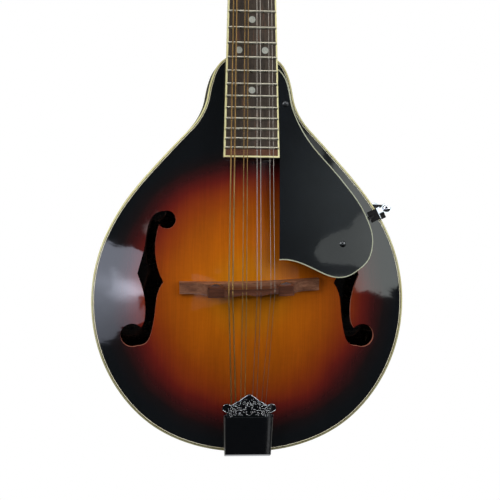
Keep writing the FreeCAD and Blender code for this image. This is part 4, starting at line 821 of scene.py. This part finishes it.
# (azimuth, elevation, distance, width, height, watts) of each soft lamp, in degrees and metres
LAMPS = {
    "key_left": (-52, 22, 1.6, 1.0, 1.2, 25),
    "key_right": (52, 22, 1.6, 1.0, 1.2, 25),
    "top_light": (0, 62, 1.6, 1.0, 0.8, 8),
    "back_left": (-140, 20, 1.8, 0.8, 1.4, 14),
    "back_right": (140, 20, 1.8, 0.8, 1.4, 14),
}
LAMPS_AIM = (0, 0, 0.2)
DIM_GREY = (0.03, 0.031, 0.033, 1)


def studio():
    for name, (azimuth, elevation, distance, width, height, power) in LAMPS.items():
        area_light(name, around(azimuth, elevation, distance), LAMPS_AIM, width, height, power)
    softboxes()
    world = bpy.data.worlds.new("studio")
    world.use_nodes = True
    world.node_tree.nodes["Background"].inputs["Color"].default_value = DIM_GREY
    bpy.context.scene.world = world


COVER_ROOM = 0.042         # metres from the tail down to the floor, room for the cover to slide off
DOME_RADIUS = 5.0          # metres
DOME_RINGS = 12
DOME_SIDES = 48


def dome_mesh():
    """Half a sphere: its top point and then one ring of points after another, down to the floor."""
    points = [(0, 0, DOME_RADIUS)]
    for i in range(1, DOME_RINGS + 1):
        polar = math.pi / 2 * i / DOME_RINGS
        out, rise = DOME_RADIUS * math.sin(polar), DOME_RADIUS * math.cos(polar)
        for j in range(DOME_SIDES):
            turn = math.tau * j / DOME_SIDES
            points.append((out * math.cos(turn), out * math.sin(turn), rise))
    faces = [(0, 1 + j, 1 + (j + 1) % DOME_SIDES) for j in range(DOME_SIDES)]
    for i in range(DOME_RINGS - 1):
        a, b = 1 + i * DOME_SIDES, 1 + (i + 1) * DOME_SIDES
        for j in range(DOME_SIDES):
            after = (j + 1) % DOME_SIDES
            faces.append((a + j, b + j, b + after, a + after))
    mesh = bpy.data.meshes.new("backdrop")
    mesh.from_pydata(points, [], faces)
    return mesh


def floor_mesh():
    """A flat round floor that reaches to the dome's edge."""
    turns = [math.tau * j / DOME_SIDES for j in range(DOME_SIDES)]
    rim = [(DOME_RADIUS * math.cos(turn), DOME_RADIUS * math.sin(turn), 0) for turn in turns]
    mesh = bpy.data.meshes.new("floor")
    mesh.from_pydata(rim, [], [tuple(range(DOME_SIDES))])
    return mesh


def white_surround():
    """A pale floor and a plain white dome round everything."""
    paint = emitter("white_surround", (1, 1, 1, 1), 1.0)
    paint.cycles.emission_sampling = "NONE"
    for name, mesh in (("backdrop", dome_mesh()), ("floor", floor_mesh())):
        mesh.materials.append(paint)
        piece = bpy.data.objects.new(name, mesh)
        piece.location = (0, 0, CAD_BOX[0][2] - COVER_ROOM)
        bpy.context.scene.collection.objects.link(piece)
        piece.visible_glossy = False
        piece.visible_diffuse = False
        piece.visible_shadow = False


EYE_AT = (-0.0850, -0.9730, 0.2003)    # metres
EYE_FORWARD = Vector((0.08983, 0.99485, -0.04710))
EYE_UP = Vector((-0.00628, 0.04784, 0.99883))
LENS = 93.98               # mm, on a sensor 36 mm wide


def camera():
    """The main view: a little to the bass side of square on, level with the upper body."""
    data = bpy.data.cameras.new("camera")
    data.sensor_width = 36.0
    data.lens = LENS
    eye = bpy.data.objects.new("camera", data)
    right = EYE_FORWARD.cross(EYE_UP).normalized()
    up = right.cross(EYE_FORWARD)
    turn = Matrix((right, up, -EYE_FORWARD)).transposed().to_4x4()
    eye.matrix_world = Matrix.Translation(EYE_AT) @ turn
    bpy.context.scene.collection.objects.link(eye)
    bpy.context.scene.camera = eye


dress_nodes()
purfling()
relief()
soften(NODES["tailpiece_cover"], COVER_ROUNDING)
studio()
white_surround()
camera()
bpy.context.scene.view_settings.view_transform = "Standard"
